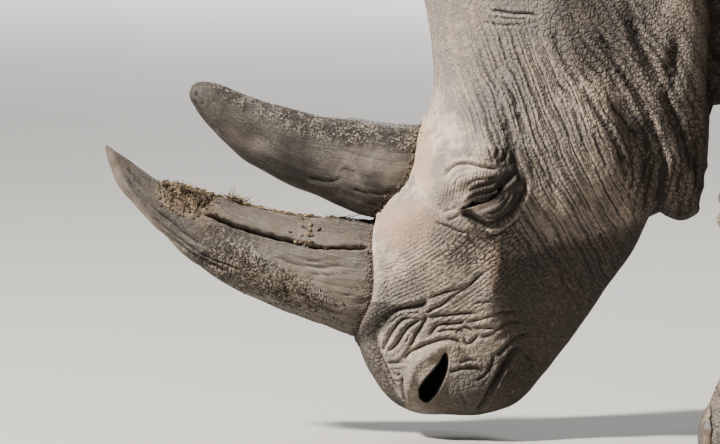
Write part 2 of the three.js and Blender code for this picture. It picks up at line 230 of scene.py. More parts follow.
def waves(co, size, seed=0.0):
    """Soft noise from -1 to 1 at points in millimetres."""
    return np.array(
        [noise.noise(Vector((p[0] / size + seed, p[1] / size, p[2] / size))) for p in co]
    )


def on_curve(a, b, c, d, t):
    """The place a share t of the way from b to c, on a smooth curve through all four."""
    return 0.5 * (
        2 * b
        + (c - a) * t
        + (2 * a - 5 * b + 4 * c - d) * t * t
        + (3 * b - a - 3 * c + d) * t**3
    )


def smooth_line(points, step):
    """A fair curve through (x, z) points, as an array of close points."""
    pts = np.array(points, float)
    ends = np.vstack([2 * pts[0] - pts[1], pts, 2 * pts[-1] - pts[-2]])
    out = []
    for i in range(1, len(ends) - 2):
        a, b, c, d = ends[i - 1 : i + 3]
        count = max(2, int(np.hypot(*(c - b)) / step))
        out.extend(on_curve(a, b, c, d, t) for t in np.arange(count) / count)
    out.append(pts[-1])
    return np.array(out)


def to_line(x, z, points, step):
    """Signed distance to a curve in the side view, and the share of the way along it.

    The distance is above 0 on the left of the curve's direction, as seen with x to the
    right and z up.
    """
    line = smooth_line(points, step)
    best = np.full(len(x), FAR)
    signed = np.zeros(len(x))
    along = np.zeros(len(x))
    lengths = np.hypot(*(line[1:] - line[:-1]).T)
    start = np.concatenate([[0], np.cumsum(lengths)])
    total = start[-1]
    for k in range(len(line) - 1):
        a, d = line[k], line[k + 1] - line[k]
        if lengths[k] < TINY:
            continue
        rx, rz = x - a[0], z - a[1]
        t = np.clip((rx * d[0] + rz * d[1]) / lengths[k] ** 2, 0, 1)
        away = np.hypot(rx - t * d[0], rz - t * d[1])
        nearer = away < best
        best = np.where(nearer, away, best)
        side = np.sign(d[0] * rz - d[1] * rx)
        signed = np.where(nearer, away * side, signed)
        along = np.where(nearer, (start[k] + t * lengths[k]) / total, along)
    return signed, along


# The hide

# Size of the voxels of the forms: the body under the hide, its ears and tail, the form that
# the hide is laid on, the toenails and the caked mud.
BODY_GRAIN = 36 * MM
LIMB_GRAIN = 9 * MM
FINE_GRAIN = 8 * MM
NAIL_GRAIN = 4 * MM
MUD_GRAIN = 1.9 * MM

# Patches of the head that get smaller faces: centre, radii and turn in the side view.
FACE_PATCHES = [
    ((0, 440), (130, 150), 20),
    ((-80, 210), (140, 165), 0),
    ((180, 570), (150, 270), 25),
]
THROAT_PATCH = ((345, 440), (75, 62), 0)
FOLD_PATCHES = [
    ((-14, 446), (100, 78), 28),
    ((-52, 172), (148, 134), 10),
    ((10, 766), (88, 26), 0),
]

# Edges near the eyes and nostrils are split down to these lengths, in millimetres.
RIM_EDGES = (3, 1.8)


def plug(bm, place, radii, turn):
    """An egg that fills a hollow of the solids before the hide is drawn over them."""
    egg = bmesh.ops.create_icosphere(bm, subdivisions=3, radius=MM)
    matrix = (
        Matrix.Translation(Vector((EYES_AT, 0, 0)) + Vector(place) * MM)
        @ Matrix.Rotation(math.radians(turn), 4, "Y")
        @ Matrix.Diagonal((*radii, 1))
    )
    bmesh.ops.transform(bm, matrix=matrix, verts=egg["verts"])


def bare_form(names, plugs):
    """Nodes as one loose form, with plugs in their hollows."""
    bm = node_copy(names)
    for place, radii, turn in plugs:
        plug(bm, place, radii, turn)
    return mesh_from("form", bm)


def head_places(mesh):
    """The vertices as rows of x, y, z in millimetres, with x counted from the eyes."""
    return (places(mesh) - (EYES_AT, 0, 0)) / MM


# Each zone says which vertices, in the millimetres of head_places, may get smaller faces.


def head_zone(x, y, z):
    return (x < 320) & (z < 1010)


def in_any(x, z, patches):
    """Where the side view lies inside one of several turned ellipses."""
    return np.any([within(x, z, *patch, soft=0.01) > 0.5 for patch in patches], axis=0)


def by_body_fold(x, z, share):
    """Where some fold of the body is cut deeper than a share of its depth."""
    cuts = [crease.cut_and_rise(x, z)[0] > share * crease.depth for crease in BODY_CREASES]
    return np.any(cuts, axis=0)


def face_zone(x, y, z):
    sides = (np.abs(y) > 50) & in_any(x, z, FACE_PATCHES)
    by_horns = (x > -240) & (x < -70) & (z > 150) & (z < 590)
    return sides | by_horns | in_any(x, z, [THROAT_PATCH])


def fold_zone(x, y, z):
    return (np.abs(y) > 60) & in_any(x, z, FOLD_PATCHES)


def left_fold_zone(x, y, z):
    return fold_zone(x, y, z) & (y < 0)


def rim_zone(x, y, z):
    lids = (np.abs(y) > 100) & (np.abs(inside_outline(x, z, EYE_OPENING)) < 6)
    wings = (np.abs(y) > 40) & (inside_outline(x, z, NOSTRIL) > -6)
    return lids | wings


def limb_zone(x, y, z):
    return (x < 640) | (z < 600) | by_body_fold(x, z, 0.02)


def trunk_fold_zone(x, y, z):
    return (x > 460) & by_body_fold(x, z, 0.2)


def foot_zone(x, y, z):
    return z < 120


def finely_split(mesh, target):
    """Smaller faces where the folds are small, each time laid on the target again."""
    zones = [
        (22, limb_zone),
        (15, trunk_fold_zone),
        (16, foot_zone),
        (12, head_zone),
        (9, face_zone),
        (5, fold_zone),
        (2.8, left_fold_zone),
    ]
    for longest, zone in zones:
        subdivide_where(mesh, zone(*head_places(mesh).T), longest * MM)
        mesh = with_modifiers(mesh, ("SHRINKWRAP", {"target": target}))
        smooth_mesh(mesh, 2)
    return mesh


def hide_base():
    """A smooth closed surface over all the flesh, with ears and tail joined in."""
    eyes = [((-6, 176 * s, 452), (44, 13, 17), -28) for s in SIDES.values()]
    nostrils = [((-102, 118 * s, 124), (30, 24, 38), 0) for s in SIDES.values()]
    core = [name for name in FLESH if name not in EARS_AND_TAIL]
    body = bare_form([*core, "left_eye", "right_eye"], eyes + nostrils)
    ear_roots = [((-52, 122 * s, 905), (36, 36, 36), 0) for s in SIDES.values()]
    tail_root = ((2640, 0, 1370), (40, 26, 50), 0)
    small = bare_form(EARS_AND_TAIL, [*ear_roots, tail_root])

    both = bmesh.new()
    both.from_mesh(body)
    both.from_mesh(small)
    fine = add_object("fine form", voxels(mesh_from("fine form", both), FINE_GRAIN))
    smooth_mesh(fine.data, 12)

    hide = voxels(body, BODY_GRAIN)
    smooth_mesh(hide, 3)
    limbs = add_object("ears and tail", voxels(small, LIMB_GRAIN))
    smooth_mesh(limbs.data, 2)
    union = {"operation": "UNION", "object": limbs, "solver": "EXACT"}
    hide = with_modifiers(hide, ("BOOLEAN", union))
    hide = finely_split(hide, fine)
    for helper in (limbs, fine):
        bpy.data.objects.remove(helper)
    return hide


class Crease:
    """A fold line in the side view: points, width, depth, and the rise of its banks.

    `lean` shifts the rise to the left bank (1) or the right one (-1) of the line's
    direction. A depth below 0 makes a raised ridge. Sizes are in millimetres.
    """

    taper = 0.18  # share of the line over which each of its ends fades
    bank_at, bank_width = 2.3, 1.6  # in widths of the line, as is the reach of the cut
    cut_reach = 3.2

    def __init__(self, points, width, depth, rise=0.0, lean=0.0):
        self.points = points
        self.width = width
        self.depth = depth
        self.rise = rise
        self.lean = lean

    def cut_and_rise(self, x, z):
        """The crevice's depth and its banks' rise at places of the side view."""
        line = np.array(self.points, float)
        low = line.min(0) - 6 * self.width
        high = line.max(0) + 6 * self.width
        near = (x > low[0]) & (x < high[0]) & (z > low[1]) & (z < high[1])
        cut = np.zeros(len(x))
        rise = np.zeros(len(x))
        if near.any():
            step = max(3.0, 1.5 * self.width)
            away, along = to_line(x[near], z[near], self.points, step)
            r = away / self.width
            ends = ramp(0, self.taper, along) * ramp(0, self.taper, 1 - along)
            left = np.exp(-(((r - self.bank_at) / self.bank_width) ** 2))
            right = np.exp(-(((r + self.bank_at) / self.bank_width) ** 2))
            banks = (1 + self.lean) * left + (1 - self.lean) * right
            rise[near] = ends * 0.7 * self.rise * banks
            if self.depth > 0:
                bank = np.hypot(r, 0.35) - 0.35
                cut[near] = ends * self.depth * np.clip(1 - bank / self.cut_reach, 0, 1) ** 2.4
            else:
                rise[near] -= ends * self.depth * np.exp(-(r**2))
        return cut, rise


def folded(creases, x, z):
    """Heights of several creases together: the deepest crevice counts at each place."""
    deepest = np.zeros(len(x))
    total = np.zeros(len(x))
    for crease in creases:
        cut, rise = crease.cut_and_rise(x, z)
        deepest = np.maximum(deepest, cut)
        total += rise
    return total - deepest


class Ridges:
    """Many wrinkles beside a guide line, `spacing` apart, over a patch of the side view.

    The patch is a turned ellipse: centre, radii, turn in degrees. A small `sharp` makes the
    gaps narrow, and `wander` is how far a wrinkle strays, in spacings.
    """

    def __init__(self, guide, spacing, depth, patch, sharp, wander, seed):
        self.guide = guide
        self.spacing = spacing
        self.depth = depth
        self.patch = patch
        self.sharp = sharp
        self.wander = wander
        self.seed = seed

    def heights(self, x, y, z):
        centre, radii, turn = self.patch
        mask = within(x, z, centre, radii, turn, 0.45)
        near = mask > 0.01
        out = np.zeros(len(x))
        if near.any():
            co = np.stack([x[near], y[near], z[near]], 1)
            away, _ = to_line(x[near], z[near], self.guide, 12.0)
            drift = self.wander * waves(co, 3.2 * self.spacing, self.seed)
            break_up = 0.55 + 0.6 * waves(co, 4.5 * self.spacing, self.seed + 7)
            phase = np.pi * (away / self.spacing + drift)
            shape = np.abs(np.sin(phase)) ** self.sharp - 0.62
            out[near] = mask[near] * break_up * self.depth * shape
        return out


# Folds of the head, in the side view, from the horns to the throat.

MUZZLE_CREASES = [
    Crease([(-180, 228), (-168, 238), (-146, 243), (-124, 249), (-112, 257)], 4.2, 8, 3, 0.3),
    Crease([(-116, 254), (-104, 263), (-90, 268), (-67, 274), (-48, 282), (-33, 291),
            (-20, 302), (-4, 327)], 2.6, 3.2, 1.2),
    Crease([(-119, 225), (-112, 233), (-104, 240), (-90, 247), (-74, 261), (-55, 273),
            (-38, 285), (-18, 309)], 2.6, 3.6, 1.5),
    Crease([(-124, 214), (-118, 221), (-101, 226), (-78, 229), (-45, 232), (-24, 233)],
           2.6, 3.2, 1.4),
    Crease([(-143, 166), (-137, 187), (-128, 203), (-120, 218), (-113, 232)], 3.4, 5.5, 2.4),
    Crease([(-113, 188), (-101, 205), (-90, 212), (-65, 213), (-42, 214)], 3, 3.6, 1.8),
    Crease([(-161, 132), (-156, 147), (-145, 160), (-124, 172), (-101, 181), (-83, 185),
            (-67, 183), (-56, 179), (-40, 171)], 3.2, 5.2, 2.2, 0.2),
    Crease([(-158, 121), (-156, 92), (-151, 66)], 3, 3.6, 1.6),
    Crease([(-193, 137), (-182, 141), (-172, 143), (-152, 145)], 2.6, 3.4, 1.6),
    Crease([(-182, 106), (-171, 109), (-161, 107)], 2.4, 2.6, 1.2),
    Crease([(-204, 180), (-198, 167), (-191, 168), (-185, 183), (-178, 198), (-164, 215),
            (-152, 222), (-134, 226)], 3, 4.2, 2),
    Crease([(-192, 157), (-180, 167), (-168, 178), (-159, 192), (-146, 207), (-132, 218),
            (-118, 226)], 3.2, 4.8, 2.2),
    Crease([(-176, 141), (-160, 150), (-148, 163), (-139, 179), (-131, 194)], 2.8, 3.4, 1.6),
    Crease([(-200, 208), (-189, 222), (-176, 232)], 2.6, 3, 1.4),
    Crease([(-80, 126), (-65, 131), (-45, 135), (-22, 134), (-6, 127)], 3.2, 4.4, 2),
    Crease([(-60, 142), (-42, 149), (-22, 149)], 2.6, 2.8, 1.2),
    Crease([(-50, 190), (-45, 178), (-34, 183), (-22, 195)], 2.8, 3.4, 1.8),
    Crease([(-34, 205), (-10, 206), (24, 205)], 2.6, 2.6, 1),
    Crease([(-36, 250), (-8, 252), (22, 262)], 2.6, 2.2, 1),
    Crease([(-188, 252), (-187, 285), (-178, 316), (-160, 333)], 2.6, 2, 1),
    Crease([(-176, 256), (-173, 284), (-163, 304), (-146, 318)], 2.4, 1.6, 0.8),
    Crease([(-44, 34), (-16, 70), (4, 104), (22, 136), (38, 160), (60, 176)], 3.4, 10, 4, -0.4),
    Crease([(6, 150), (24, 170), (48, 190), (78, 196)], 2.8, 3.4, 1.6),
    Crease([(60, 160), (72, 140), (78, 112)], 2.6, 2.6, 1.2),
    Crease([(-62, 108), (-50, 84), (-44, 62)], 2.6, 2.2, 1),
    Crease([(-140, 66), (-143, 104), (-134, 134), (-114, 154), (-94, 168), (-76, 172),
            (-60, 158), (-54, 136)], 12, -9),
    Crease([(-50, 212), (-18, 222), (14, 232), (56, 236)], 2.6, 2.6, 1.2),
    Crease([(-26, 186), (0, 196), (26, 212), (60, 216)], 2.6, 2.8, 1.2),
    Crease([(-8, 92), (14, 108), (34, 132)], 2.4, 2.2, 1.4),
    Crease([(-30, 110), (-12, 122), (2, 140), (6, 160)], 2.4, 2.6, 1.2),
    Crease([(-64, 190), (-60, 200), (-46, 206), (-30, 198)], 2.2, 2.6, 1.2),
    Crease([(-186, 206), (-170, 222), (-148, 232), (-122, 236)], 2.4, 3.2, 1.4),
    Crease([(-100, 196), (-84, 202), (-62, 202), (-46, 198)], 2.2, 2.4, 1.2),
    Crease([(-152, 176), (-144, 194), (-134, 206)], 2.2, 2.4, 1.2),
    Crease([(-196, 150), (-200, 134), (-196, 118)], 2.4, 2.4, 1.2),
    Crease([(-176, 126), (-166, 120), (-160, 126)], 2.0, 2.0, 1.0),
    Crease([(-160, 238), (-176, 231), (-194, 212), (-208, 188), (-202, 160), (-193, 136),
            (-179, 105), (-156, 68)], 4.6, 9, 1.6),
]

EYE_CREASES = [
    Crease([(-54, 432), (-42, 446), (-30, 454), (-16, 459), (-2, 463), (14, 469)], 4.5, -5),
    Crease([(-26, 414), (-14, 418), (-2, 423), (10, 433), (20, 446)], 5, -2.8),
    Crease([(8, 459), (20, 470), (32, 481), (44, 492)], 3.4, 8, 0.6),
    Crease([(-60, 428), (-72, 420), (-88, 415)], 1.9, 1.9, 0.6),
    Crease([(-56, 415), (-66, 406), (-82, 399)], 1.9, 1.8, 0.6),
    Crease([(-10, 774), (16, 771), (42, 768), (62, 766), (84, 760)], 2.2, 3.6, 1.2, -0.3),
    Crease([(-26, 755), (0, 750), (24, 747), (44, 748), (62, 745)], 1.8, 2.0, 0.7),
    Crease([(-12, 763), (24, 759), (64, 757)], 1.6, 1.2, 0.5),
    Crease([(0, 742), (32, 739), (70, 741)], 1.6, 1.4, 0.6),
    Crease([(6, 730), (40, 730), (78, 733)], 1.6, 1.2, 0.5),
    Crease([(12, 600), (26, 560), (36, 520), (46, 486), (58, 450)], 3.2, 5, 2),
    Crease([(26, 640), (42, 596), (54, 552), (66, 506), (74, 462)], 3.0, 4, 1.6),
    Crease([(-88, 470), (-85, 480), (-79, 489), (-70, 496), (-58, 501), (-40, 503),
            (-22, 500), (-7, 497), (5, 496), (16, 500)], 2.2, 4.2, 1.6, 0.6),
    Crease([(-77, 462), (-73, 472), (-66, 482), (-56, 489), (-43, 494), (-30, 495)],
           1.6, 1.6, 0.7),
    Crease([(-70, 460), (-64, 471), (-54, 480), (-42, 485)], 1.5, 1.2, 0.5),
    Crease([(-44, 450), (-30, 462), (-16, 467), (-2, 470), (12, 475)], 1.9, 2.6, 0.9),
    Crease([(-52, 456), (-40, 469), (-24, 476), (-6, 479), (10, 483)], 2.0, 2.2, 0.9),
    Crease([(46, 494), (52, 484), (56, 474), (57, 462), (55, 450), (48, 436), (38, 421),
            (24, 408), (8, 397), (-8, 391), (-20, 393), (-32, 401), (-44, 411),
            (-54, 422)], 3.4, 10, 2.6, 0.3),
    Crease([(22, 460), (32, 468), (44, 480)], 3.4, -3.4),
    Crease([(-20, 404), (-2, 404), (14, 411), (28, 423), (38, 438), (43, 452), (43, 466)],
           1.9, 2.6, 1.2),
    Crease([(-14, 415), (4, 417), (18, 427), (28, 440), (32, 452)], 1.8, 2.4, 1.1),
    Crease([(0, 428), (13, 436), (22, 447)], 1.7, 1.8, 0.8),
    Crease([(-54, 417), (-44, 411), (-34, 404), (-22, 395)], 4.2, 7, 0.8),
    Crease([(-12, 383), (5, 384), (20, 393), (35, 406), (50, 423)], 4.4, -3.6),
    Crease([(-18, 373), (5, 374), (24, 383), (41, 396), (55, 412)], 2.6, 3, 1),
    Crease([(-107, 400), (-92, 394), (-73, 387), (-55, 381), (-36, 379)], 2.3, 2.6, 1),
    Crease([(2, 508), (10, 530), (12, 556), (8, 580)], 2.6, 3, 1),
    Crease([(14, 500), (24, 524), (26, 552), (22, 584)], 2.8, 3.8, 1.4),
    Crease([(30, 494), (38, 520), (40, 550), (36, 590)], 2.8, 3.6, 1.4),
    Crease([(-10, 512), (-2, 530), (-1, 552)], 2.4, 1.8, 0.7),
]

# Lines that the wrinkles of a region follow.

CHEEK_LINE = [(-30, 800), (0, 720), (22, 660), (40, 610), (58, 562), (75, 519), (94, 480),
              (112, 440), (136, 394), (162, 350), (190, 308), (225, 250)]
JAW_LINE = [(110, 900), (150, 790), (183, 724), (223, 680), (252, 634), (282, 582),
            (300, 530), (306, 481), (296, 426), (280, 360)]
NECK_LINE = [(330, 1350), (310, 1120), (282, 980), (270, 860), (290, 740), (330, 640),
             (352, 540), (360, 380)]
MUZZLE_LINE = [(-230, 200), (-172, 235), (-110, 262), (-50, 298), (0, 338), (60, 392)]
FLOW_LINES = {"cheek": CHEEK_LINE, "jaw": JAW_LINE, "neck": NECK_LINE, "muzzle": MUZZLE_LINE}

HEAD_RIDGES = [
    Ridges(JAW_LINE, 26, 5, ((262, 610), (85, 230), 20), 0.5, 0.4, 5.0),
    Ridges(NECK_LINE, 46, 7, ((360, 900), (240, 330), 0), 0.55, 0.6, 9.0),
]

# Soft forms of the head: place, radii, turn and height.

SWELLS = [
    ((-96, 480), (26, 85), 0, 8),  # the edge of the forehead
    ((-34, 480), (46, 21), 14, 15),  # upper lid
    ((-28, 528), (70, 22), 4, 8),  # brow
    ((30, 540), (17, 70), 16, -11),  # behind the brow
    ((10, 412), (42, 15), 30, 5),  # lower lid
    ((-84, 420), (20, 26), 0, -5),  # below the front corner of the eye
    ((2, 290), (22, 66), -8, 12),  # crest of the face
    ((82, 325), (44, 96), 12, -20),  # hollow of the cheek
    ((135, 440), (36, 96), 20, 11),  # front edge of the jaw muscle
    ((195, 560), (64, 110), 25, 9),  # the jaw muscle
    ((-120, 300), (60, 42), -20, 5),  # nose
    ((-46, 98), (34, 28), 10, 9),  # lip
    ((50, 130), (26, 44), -20, -10),  # corner of the mouth
    ((165, 290), (62, 110), 25, -20),  # the side of the lower jaw
    ((84, 180), (40, 60), 10, -12),
    ((-10, 92), (40, 40), 10, 7),  # lower lip
    ((258, 575), (28, 160), 18, -13),  # groove behind the jaw
    ((352, 660), (26, 170), 4, 13),  # fold of the neck
]

# Folds of the body, as on the species.

NECK_CREASES = [
    Crease([(172, 752), (205, 702), (228, 660), (260, 612), (284, 560), (302, 506),
            (305, 451), (292, 400)], 5, 10, 4, 0.5),
    Crease([(222, 800), (247, 740), (268, 690), (296, 640), (318, 590), (343, 534),
            (368, 484), (372, 430)], 6.5, 13, 6, -0.4),
    Crease([(316, 800), (322, 730), (314, 670), (310, 610)], 6.5, 9, 5, -0.5),
    Crease([(90, 770), (120, 700), (152, 645), (188, 590), (222, 530), (244, 470)], 4.6, 5, 2),
    Crease([(6, 680), (30, 625), (56, 562), (80, 505), (104, 452), (130, 400)], 4.6, 5, 2),
    Crease([(250, 1150), (238, 1020), (234, 900), (250, 800)], 9, 9, 5),
    Crease([(300, 1150), (290, 1020), (285, 900), (300, 800), (312, 740)], 9, 10, 5),
]

BODY_CREASES = [
    Crease([(150, 1190), (240, 1040), (330, 900), (385, 760)], 16, 12, 6, 0.2),
    Crease([(330, 1450), (372, 1280), (400, 1120), (408, 960), (404, 800)], 20, 18, 8, 0.3),
    Crease([(520, 1560), (500, 1380), (470, 1200), (440, 1020), (424, 880)], 15, 13, 5),
    Crease([(905, 1560), (930, 1400), (950, 1230), (960, 1060), (930, 900), (880, 780)],
           15, 18, 5, -0.3),
    Crease([(400, 800), (520, 772), (660, 770), (800, 790), (890, 830)], 18, 13, 7, 0.2),
    Crease([(440, 690), (540, 662), (650, 660), (740, 690)], 13, 8, 4),
    Crease([(1990, 1390), (1972, 1180), (1968, 1030), (2000, 890), (2060, 780)],
           14, 18, 5, 0.3),
    Crease([(2240, 1530), (2340, 1340), (2400, 1120), (2390, 960), (2330, 820)],
           13, 10, 4),
    Crease([(1920, 1280), (1905, 1120), (1916, 980), (1950, 860)], 12, 8, 3),
    Crease([(2080, 1300), (2060, 1160), (2066, 1020), (2096, 900)], 12, 7, 3),
    Crease([(1010, 1480), (1024, 1300), (1022, 1120), (990, 960)], 12, 7, 3),
    Crease([(2080, 770), (2200, 728), (2330, 725), (2450, 760)], 16, 10, 5),
    Crease([(2500, 1420), (2570, 1300), (2600, 1150), (2580, 1010)], 16, 12, 5, 0.3),
    Crease([(1010, 640), (1200, 612), (1500, 622), (1800, 660)], 24, 8, 5),
]

LEG_CREASES = [
    Crease([(360, 520), (480, 500), (600, 510), (700, 540)], 9, 5, 3),
    Crease([(360, 478), (480, 462), (600, 470), (700, 490)], 8, 5, 3),
    Crease([(340, 432), (480, 424), (600, 430), (680, 445)], 8, 6, 3),
    Crease([(340, 392), (480, 388), (600, 394), (680, 402)], 8, 4, 2),
    Crease([(340, 232), (480, 224), (680, 232)], 9, 4, 2),
    Crease([(340, 196), (480, 186), (680, 194)], 8, 5, 3),
    Crease([(340, 164), (480, 152), (680, 160)], 7, 4, 2),
    Crease([(2080, 640), (2220, 610), (2340, 612), (2520, 650)], 10, 6, 3),
    Crease([(2120, 570), (2240, 556), (2360, 556), (2540, 580)], 9, 5, 3),
    Crease([(2120, 505), (2240, 500), (2360, 506), (2540, 520)], 9, 5, 3),
    Crease([(2140, 452), (2260, 450), (2500, 462)], 8, 4, 2),
    Crease([(2120, 226), (2260, 218), (2460, 226)], 9, 4, 2),
    Crease([(2120, 190), (2260, 182), (2460, 190)], 8, 5, 3),
    Crease([(2110, 158), (2260, 148), (2470, 156)], 7, 4, 2),
]

HEAD_CREASES = MUZZLE_CREASES + EYE_CREASES

# The lids: the edges of the opening, from the front corner to the rear one.

UPPER_LID = [(-54, 421), (-46, 430), (-37, 438), (-27, 444), (-15, 448), (-3, 452),
             (8, 457), (18, 463)]
LOWER_LID = [(-54, 421), (-45, 423), (-35, 426), (-24, 430), (-11, 434), (0, 440),
             (10, 449), (18, 463)]
EYE_OPENING = [*UPPER_LID, *LOWER_LID[-2:0:-1]]
NOSTRIL = [(-131, 96), (-121, 114), (-108, 129), (-95, 145), (-86, 161), (-80, 163),
           (-76, 149), (-78, 128), (-87, 105), (-99, 84), (-114, 71), (-128, 78)]
LID_THICKNESS = 2.2 * MM
SOLE_EDGE = 6 * MM

# How far the left feet stand in front of the right ones, and where the hind legs begin.
FORE_STEP = 150
HIND_STEP = -170
MID_BODY = 1500


def inside_outline(x, z, outline):
    """Distance into a closed outline of the side view, below 0 outside it."""
    ring = smooth_line([*outline, outline[0]], 3.0)
    best = np.full(len(x), FAR)
    turns = np.zeros(len(x), bool)
    for a, b in zip(ring[:-1], ring[1:]):
        d = b - a
        t = np.clip(((x - a[0]) * d[0] + (z - a[1]) * d[1]) / max(d @ d, TINY), 0, 1)
        best = np.minimum(best, np.hypot(x - a[0] - t * d[0], z - a[1] - t * d[1]))
        crosses = (a[1] > z) != (b[1] > z)
        if abs(d[1]) > TINY:
            turns ^= crosses & (x < a[0] + d[0] * (z - a[1]) / d[1])
    return np.where(turns, best, -best)


def push(mesh, heights):
    """Moves the vertices along their normals by heights in millimetres."""
    place_all(mesh, places(mesh) + normals(mesh) * (heights * MM)[:, None])


def soften(values, pairs, rounds):
    """Single values at the vertices, evened out along the edges."""
    return smoothed(values[:, None], pairs, rounds, keep_size=False)[:, 0]


def head_swells(x, z):
    """The soft forms of the head, as heights in millimetres."""
    rise = np.zeros(len(x))
    for centre, radii, turn, height in SWELLS:
        u, v = across_patch(x, z, centre, radii, turn)
        rise += height * np.exp(-(u**2 + v**2))
    return rise


def left_twin(x, z, side):
    """Where the points of a right leg would be if it stood as the left one does."""
    if side < 0:
        return x
    heights = [390, 455, 550, 660, 760, 890]
    fore = FORE_STEP * np.interp(z, heights, [1, 0.85, 0.65, 0.4, 0.15, 0])
    heights = [430, 515, 600, 695, 800, 925, 1240]
    hind = HIND_STEP * np.interp(z, heights, [1, 0.85, 0.7, 0.5, 0.3, 0.15, 0])
    return x - np.where(x < MID_BODY, fore, hind)


def horn_roots(x, y, z):
    """Rims of skin round the feet of the two horns, and hollows for the horns."""
    front = np.hypot(y / 97, (z - 290) / 101) + 9 * (x > -150)
    down_face = -0.437 * (x + 160) - 0.9 * (z - 482)
    rear = np.hypot(y / 74, down_face / 87) + 9 * (x > -60) + 9 * (z < 350)
    out = np.zeros(len(x))
    for r in (front, rear):
        out += 7 * np.exp(-(((r - 1.15) / 0.09) ** 2))
        out -= 5 * np.exp(-(((r - 1.01) / 0.05) ** 2))
        out -= 7 * (1 - ramp(0.8, 1.0, r))
    return out


def fold_heights(hide, on_head, facing):
    """The creases, wrinkles and unevenness of the hide, as heights in millimetres."""
    co = head_places(hide)
    x, y, z = co.T
    sideways = np.abs(normals(hide)[:, 1])
    heights = np.zeros(len(co))
    for side in SIDES.values():
        mine = on_head & (y * side > 0)
        bent_x = x[mine] + 2.2 * waves(co[mine], 38, 2.0 * side)
        bent_z = z[mine] + 2.2 * waves(co[mine], 38, 9.0 * side)
        total = folded(HEAD_CREASES, bent_x, bent_z)
        quiet = 1 - within(bent_x, bent_z, (-14, 448), (66, 52), 28, 0.2)
        total += folded(NECK_CREASES, bent_x, bent_z)
        for ridges in HEAD_RIDGES:
            total += quiet * ridges.heights(bent_x, y[mine], bent_z)
        heights[mine] = total * facing[mine]

        mine = (y * side > 0) & (x > 100)
        bent_x = left_twin(x[mine], z[mine], side) + 14 * waves(co[mine], 210, 4.0 * side)
        bent_z = z[mine] + 14 * waves(co[mine], 210, 6.0 * side)
        total = folded(BODY_CREASES, bent_x, bent_z) * ramp(0.15, 0.5, sideways[mine])
        heights[mine] += total + folded(LEG_CREASES, bent_x, bent_z)
    body = ramp(300, 620, x + 0.2 * z)
    heights += body * (5 * waves(co, 230) + 2.2 * waves(co, 80, 3.0))
    heights += (1 - body) * (1.8 * waves(co, 52, 7.0) + 0.7 * waves(co, 20, 2.0))
    return heights


def fold_hide(hide, strength):
    """Swells, creases and wrinkles of the hide, then the lids and nostrils."""
    x, y, z = head_places(hide).T
    facing = ramp(0.3, 0.7, np.abs(normals(hide)[:, 1]))
    on_head = (x < 420) & (z < 1250)
    swell = np.where(on_head, facing * head_swells(x, z), 0)
    push(hide, soften(swell, edge_pairs(hide), 4))
    push(hide, np.where(on_head, horn_roots(*head_places(hide).T), 0))
    push(hide, strength * fold_heights(hide, on_head, facing))
    for longest in RIM_EDGES:
        subdivide_where(hide, rim_zone(*head_places(hide).T), longest * MM)
    cover_eyeballs(hide)
    carve_openings(hide)
    flatten_soles(hide)


def flatten_soles(hide):
    """Lays the lowest skin of the feet flat on the floor."""
    co = places(hide)
    co[:, 2] = np.where(co[:, 2] < SOLE_EDGE, 0, co[:, 2])
    place_all(hide, co)


def cover_eyeballs(hide):
    """Lays the lids over the eyeballs wherever folds would cut below them."""
    co = places(hide)
    for side in SIDES:
        low, high = (np.array(corner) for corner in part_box(f"{side}_eye"))
        centre = (low + high) / 2
        reach = (high - low).max() / 2 + LID_THICKNESS
        out = co - centre
        away = np.linalg.norm(out, axis=1)
        outer = out[:, 1] * SIDES[side] > -0.2 * reach
        near = (away < reach) & outer
        share = reach / np.maximum(away[near], 1e-6)
        co[near] = centre + out[near] * share[:, None]
    place_all(hide, co)


def by_opening(x, y, z, outline, innermost):
    """The vertices beside an opening of the face, and how far inside it each one lies."""
    near = (np.abs(y) > innermost) & (np.abs(x + 50) < 120) & (z < 520)
    return near, inside_outline(x[near], z[near], outline)


def carve_openings(hide):
    """The eye openings, with the skin drawn in behind the eyeballs, and the nostrils."""
    co = places(hide)
    x, y, z = head_places(hide).T
    # outline, depth, least distance from the middle of the head, width of the slope
    openings = [
        (EYE_OPENING, 34, 110, 3.2),
        (NOSTRIL, 50, 60, 9.0),
    ]
    for outline, depth, innermost, slope in openings:
        near, into = by_opening(x, y, z, outline, innermost)
        drawn_in = depth * ramp(-0.6, slope, into)
        co[near, 1] -= np.sign(y[near]) * drawn_in * MM
    place_all(hide, co)
    # the wings of the nostrils, which came last, are rounded
    rims = np.zeros(len(x))
    rims[near] = ramp(12, 5, np.abs(into))
    smooth_mesh(hide, 7, share=rims)


# Horns

# Ribs of a horn, from its foot to its tip: front and rear edge in the side view, and the
# half width between them.
FRONT_HORN = [
    ((-190, 186), (-160, 384), 92),
    ((-248, 181), (-226, 389), 96),
    ((-301, 200), (-288, 392), 89),
    ((-364, 221), (-342, 398), 80),
    ((-428, 250), (-402, 408), 71),
    ((-493, 284), (-462, 424), 61),
    ((-542, 320), (-512, 438), 51),
    ((-583, 358), (-556, 450), 41),
    ((-621, 396), (-594, 457), 31),
    ((-653, 432), (-628, 480), 22),
    ((-674, 466), (-656, 500), 15),
    ((-687, 498), (-676, 515), 9),
    ((-693, 520), (-690, 525), 4),
]
REAR_HORN = [
    ((-160, 400), (-90, 556), 66),
    ((-218, 395), (-145, 560), 72),
    ((-270, 413), (-196, 566), 66),
    ((-316, 434), (-248, 573), 59),
    ((-356, 450), (-298, 577), 53),
    ((-403, 475), (-346, 587), 46),
    ((-446, 499), (-396, 601), 40),
    ((-480, 531), (-440, 615), 34),
    ((-508, 560), (-478, 630), 28),
    ((-526, 584), (-504, 636), 21),
    ((-538, 606), (-524, 636), 13),
    ((-541, 616), (-536, 630), 6),
]


